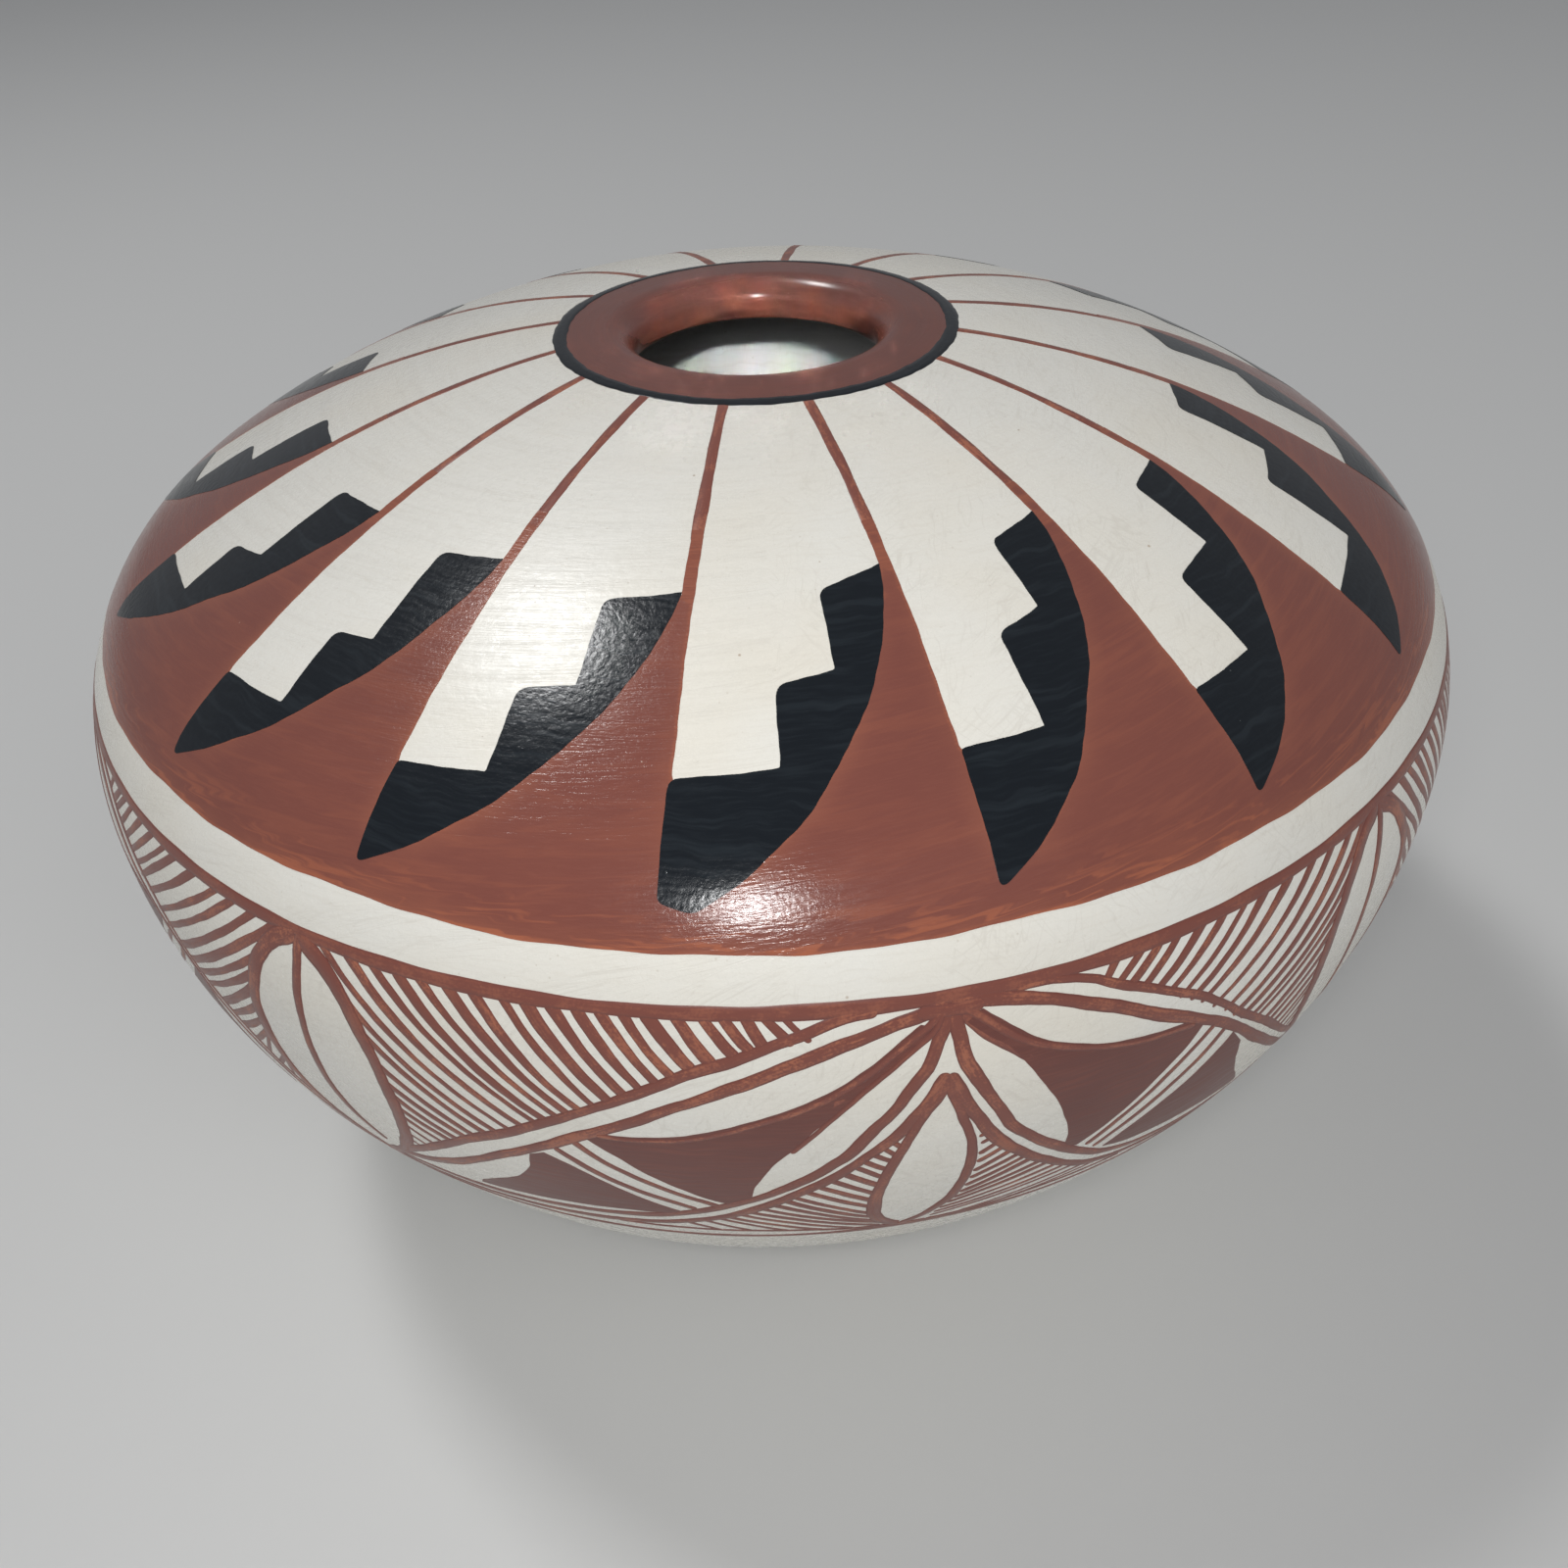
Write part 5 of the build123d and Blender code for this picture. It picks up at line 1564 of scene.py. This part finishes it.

# %% Mix the even red of the fans, painted darker than the shoulder's red as shade
shaded_fan_red, tree, shader = start_finish("red_fan_paint_painted_shade")
fine = streaks(tree, length=11.0, width=0.6, sway=0.6)
patchy = tones(tree, 12.0, 0.38, 0.68)
specks = place_group(tree, grains_and_pits, spacing=2.8, size=0.17, share=0.3)
# The fans' full and thin reds are darker than the shoulder's. This is painted shade of the lower belly, which turns
# down away from the light.
colour = place_group(tree, paint_tone, full=(0.140, 0.044, 0.034), thin=(0.190, 0.062, 0.045), edge=gathered_red,
                     streak=fine, thinness=0.8, edge_width=0.4, edge_strength=0.5)["colour"]
colour = blend(tree, times(tree, patchy, 0.4), colour, (0.118, 0.037, 0.030))
join(tree, blend(tree, times(tree, specks["grain"], 0.4), colour, (0.46, 0.28, 0.20)),
     shader["Base Color"])
join(tree, between(tree, fine, 0.0, 1.0, 0.30, 0.42), shader["Roughness"])
raise_surface(tree, shader, (fine, 0.009), (specks["grain"], 0.01))
print("finish:", shaded_fan_red.name)

# %% [markdown]
# The collar took the longest rubbing. On the flat it is an even satin, and down the throat it is
# thicker, glossier and mottled with orange, where slip ran and was wiped back.

# %% Mix the polished red of the collar
polished_red, tree, shader = start_finish("polished_collar_slip")
fine = streaks(tree, length=14.0, width=0.7, sway=0.8)
mottle = tones(tree, 9.0, 0.42, 0.72)
patchy = tones(tree, 16.0, 0.38, 0.68)
specks = place_group(tree, grains_and_pits, spacing=2.8, size=0.16, share=0.3)
jar_place = add(tree, "TexCoord", {}, out="Object")
from_axis = add(tree, "VectorMath", {0: jar_place, 1: (1.0, 1.0, 0.0)}, operation="MULTIPLY")
from_axis = add(tree, "VectorMath", {0: from_axis}, out="Value", operation="LENGTH")
in_throat = between(tree, from_axis, 22.5 * MM, 25.0 * MM, 1.0, 0.0)
colour = blend(tree, times(tree, patchy, 0.5), (0.150, 0.056, 0.044), (0.128, 0.048, 0.038))
colour = blend(tree, times(tree, between(tree, fine, 0.5, 1.0), 0.25), colour, (0.23, 0.085, 0.062))
wiped = times(tree, mottle, between(tree, in_throat, 0.0, 1.0, 0.08, 0.5))
colour = blend(tree, wiped, colour, (0.34, 0.088, 0.050))
join(tree, blend(tree, times(tree, specks["grain"], 0.4), colour, (0.5, 0.32, 0.25)),
     shader["Base Color"])
join(tree, work_out(tree, "SUBTRACT", between(tree, fine, 0.0, 1.0, 0.30, 0.38),
                    times(tree, in_throat, 0.15)), shader["Roughness"])
raise_surface(tree, shader, (fine, 0.008), (mottle, 0.02), (specks["grain"], 0.01))
print("finish:", polished_red.name)

# %% [markdown]
# Inside the mouth and under the foot the clay is bare. It is pale grey, scraped round and round,
# and quite without shine.

# %% Mix the bare clay
bare_clay, tree, shader = start_finish("bare_fired_clay")
scrape = streaks(tree, length=30.0, width=1.4, sway=1.5)
cloudy = tones(tree, 25.0, 0.35, 0.65)
pits = place_group(tree, grains_and_pits, spacing=2.2, size=0.35, share=0.45)
specks = place_group(tree, grains_and_pits, spacing=3.1, size=0.3, share=0.3)
colour = blend(tree, cloudy, (0.64, 0.64, 0.63), (0.59, 0.59, 0.58))
colour = blend(tree, times(tree, between(tree, scrape, 0.5, 1.0), 0.3), colour, (0.47, 0.45, 0.42))
colour = blend(tree, times(tree, specks["grain"], 0.6), colour, (0.24, 0.20, 0.17))
join(tree, blend(tree, times(tree, pits["grain"], 0.4), colour, (0.30, 0.28, 0.26)), shader["Base Color"])
join(tree, between(tree, scrape, 0.0, 1.0, 0.72, 0.88), shader["Roughness"])
raise_surface(tree, shader, (scrape, 0.02), (pits["grain"], -0.03))
print("finish:", bare_clay.name)

# %% Dress the pieces
dress(clay_wall, bare_clay, "fired_clay", "clay_body")
dress(ivory_slip, ivory, "white_slip", "white_slip_coat")
dress(collar_slip, polished_red, "red_slip", "red_collar_slip")
dress(collar_ring, black_paint, "black_paint", "black_collar_ring")
dress(red_rays, ray_red, "red_paint", "red_feather_rays")
dress(black_tips, black_paint, "black_paint", "black_feather_steps")
dress(red_field, field_red, "red_paint", "red_shoulder_field")
dress(frieze_borders, border_red, "red_paint", "red_frieze_borders")
dress(leaf_outlines, line_red, "red_paint", "red_leaf_outlines")
dress(fan_fields, shaded_fan_red, "red_paint", "red_fan_fields")
for piece in (fan_ribs, fan_stripes, fan_drops):
    dress(piece, line_red, "red_paint")
for piece in (upper_hatching, drop_hatching):
    dress(piece, hatch_red, "red_paint")
print("dressed:", sorted(pieces_made))

# %% [markdown]
# ## The stage
# A plain pale floor, a pale world, and soft lamps where the photograph's light came from. A small
# lamp beside the camera makes the bright patch at the foot of the middle feather. Three narrow beams
# side by side light the inside of the jar through the mouth, all but a crescent that the lip shades.
# A larger lamp high behind on the left makes the broad patch on the dome, and a wide one fills.

# %% Lay the floor and light the world
floor_mesh = bpy.data.meshes.new("floor")
floor_half = 4.0
floor_mesh.from_pydata([(-floor_half, -floor_half, 0), (floor_half, -floor_half, 0), (floor_half, floor_half, 0),
                        (-floor_half, floor_half, 0)], [], [[0, 1, 2, 3]])
floor = bpy.data.objects.new("floor", floor_mesh)
bpy.context.scene.collection.objects.link(floor)
floor_finish, tree, shader = start_finish("pale_floor")
join(tree, (0.66, 0.66, 0.65), shader["Base Color"])
join(tree, 0.6, shader["Roughness"])
floor_mesh.materials.append(floor_finish)

world = bpy.data.worlds.new("world")
bpy.context.scene.world = world
world.use_nodes = True
world.node_tree.nodes["Background"].inputs["Color"].default_value = (0.94, 0.96, 1.0, 1)
world.node_tree.nodes["Background"].inputs["Strength"].default_value = 0.27

# %% Hang the lamps
jar_middle = 0.08


def soft_lamp(name, spot, aim, size, power, mirrored=True, beam=180.0):
    """A square lamp at a spot, turned to a point. The surfaces mirror it unless told not to."""
    data = bpy.data.lights.new(name, "AREA")
    data.shape, data.size, data.energy = "SQUARE", size, power
    lamp = bpy.data.objects.new(name, data)
    data.spread = math.radians(beam)
    lamp.visible_glossy = mirrored
    lamp.location = Vector(spot)
    lamp.rotation_mode = "QUATERNION"
    lamp.rotation_quaternion = (Vector(aim) - Vector(spot)).to_track_quat("-Z", "Y")
    bpy.context.scene.collection.objects.link(lamp)
    return lamp


def at_angles(turn, height_angle, distance):
    """A spot seen from the jar's middle, its turn counted from the front."""
    t, e = math.radians(turn), math.radians(height_angle)
    return (distance * math.sin(t) * math.cos(e), -distance * math.cos(t) * math.cos(e),
            jar_middle + distance * math.sin(e))


soft_lamp("front_lamp", (-0.02, -0.265, 0.275), (0.0, -0.05, 0.13), 0.04, 0.24)
soft_lamp("back_lamp", at_angles(-120.0, 64.0, 1.6), (0, 0, 0.1), 0.28, 7.0)
mouth_height, beam_shift = 0.158, 0.013
for side, shift in (("left", -beam_shift), ("middle", 0.0), ("right", beam_shift)):
    soft_lamp("mouth_lamp_" + side, (shift, -0.62, mouth_height + 0.265), (shift, 0.0, mouth_height),
              0.012, 0.0013, mirrored=False, beam=3.0)
soft_lamp("fill_lamp", at_angles(25.0, 40.0, 2.4), (0, 0, jar_middle), 1.6, 15.5, mirrored=False)

# %% [markdown]
# ## Last steps
# The look comes out as it is written with the Standard view.

# %% Finish with the Standard view
bpy.context.scene.view_settings.view_transform = "Standard"
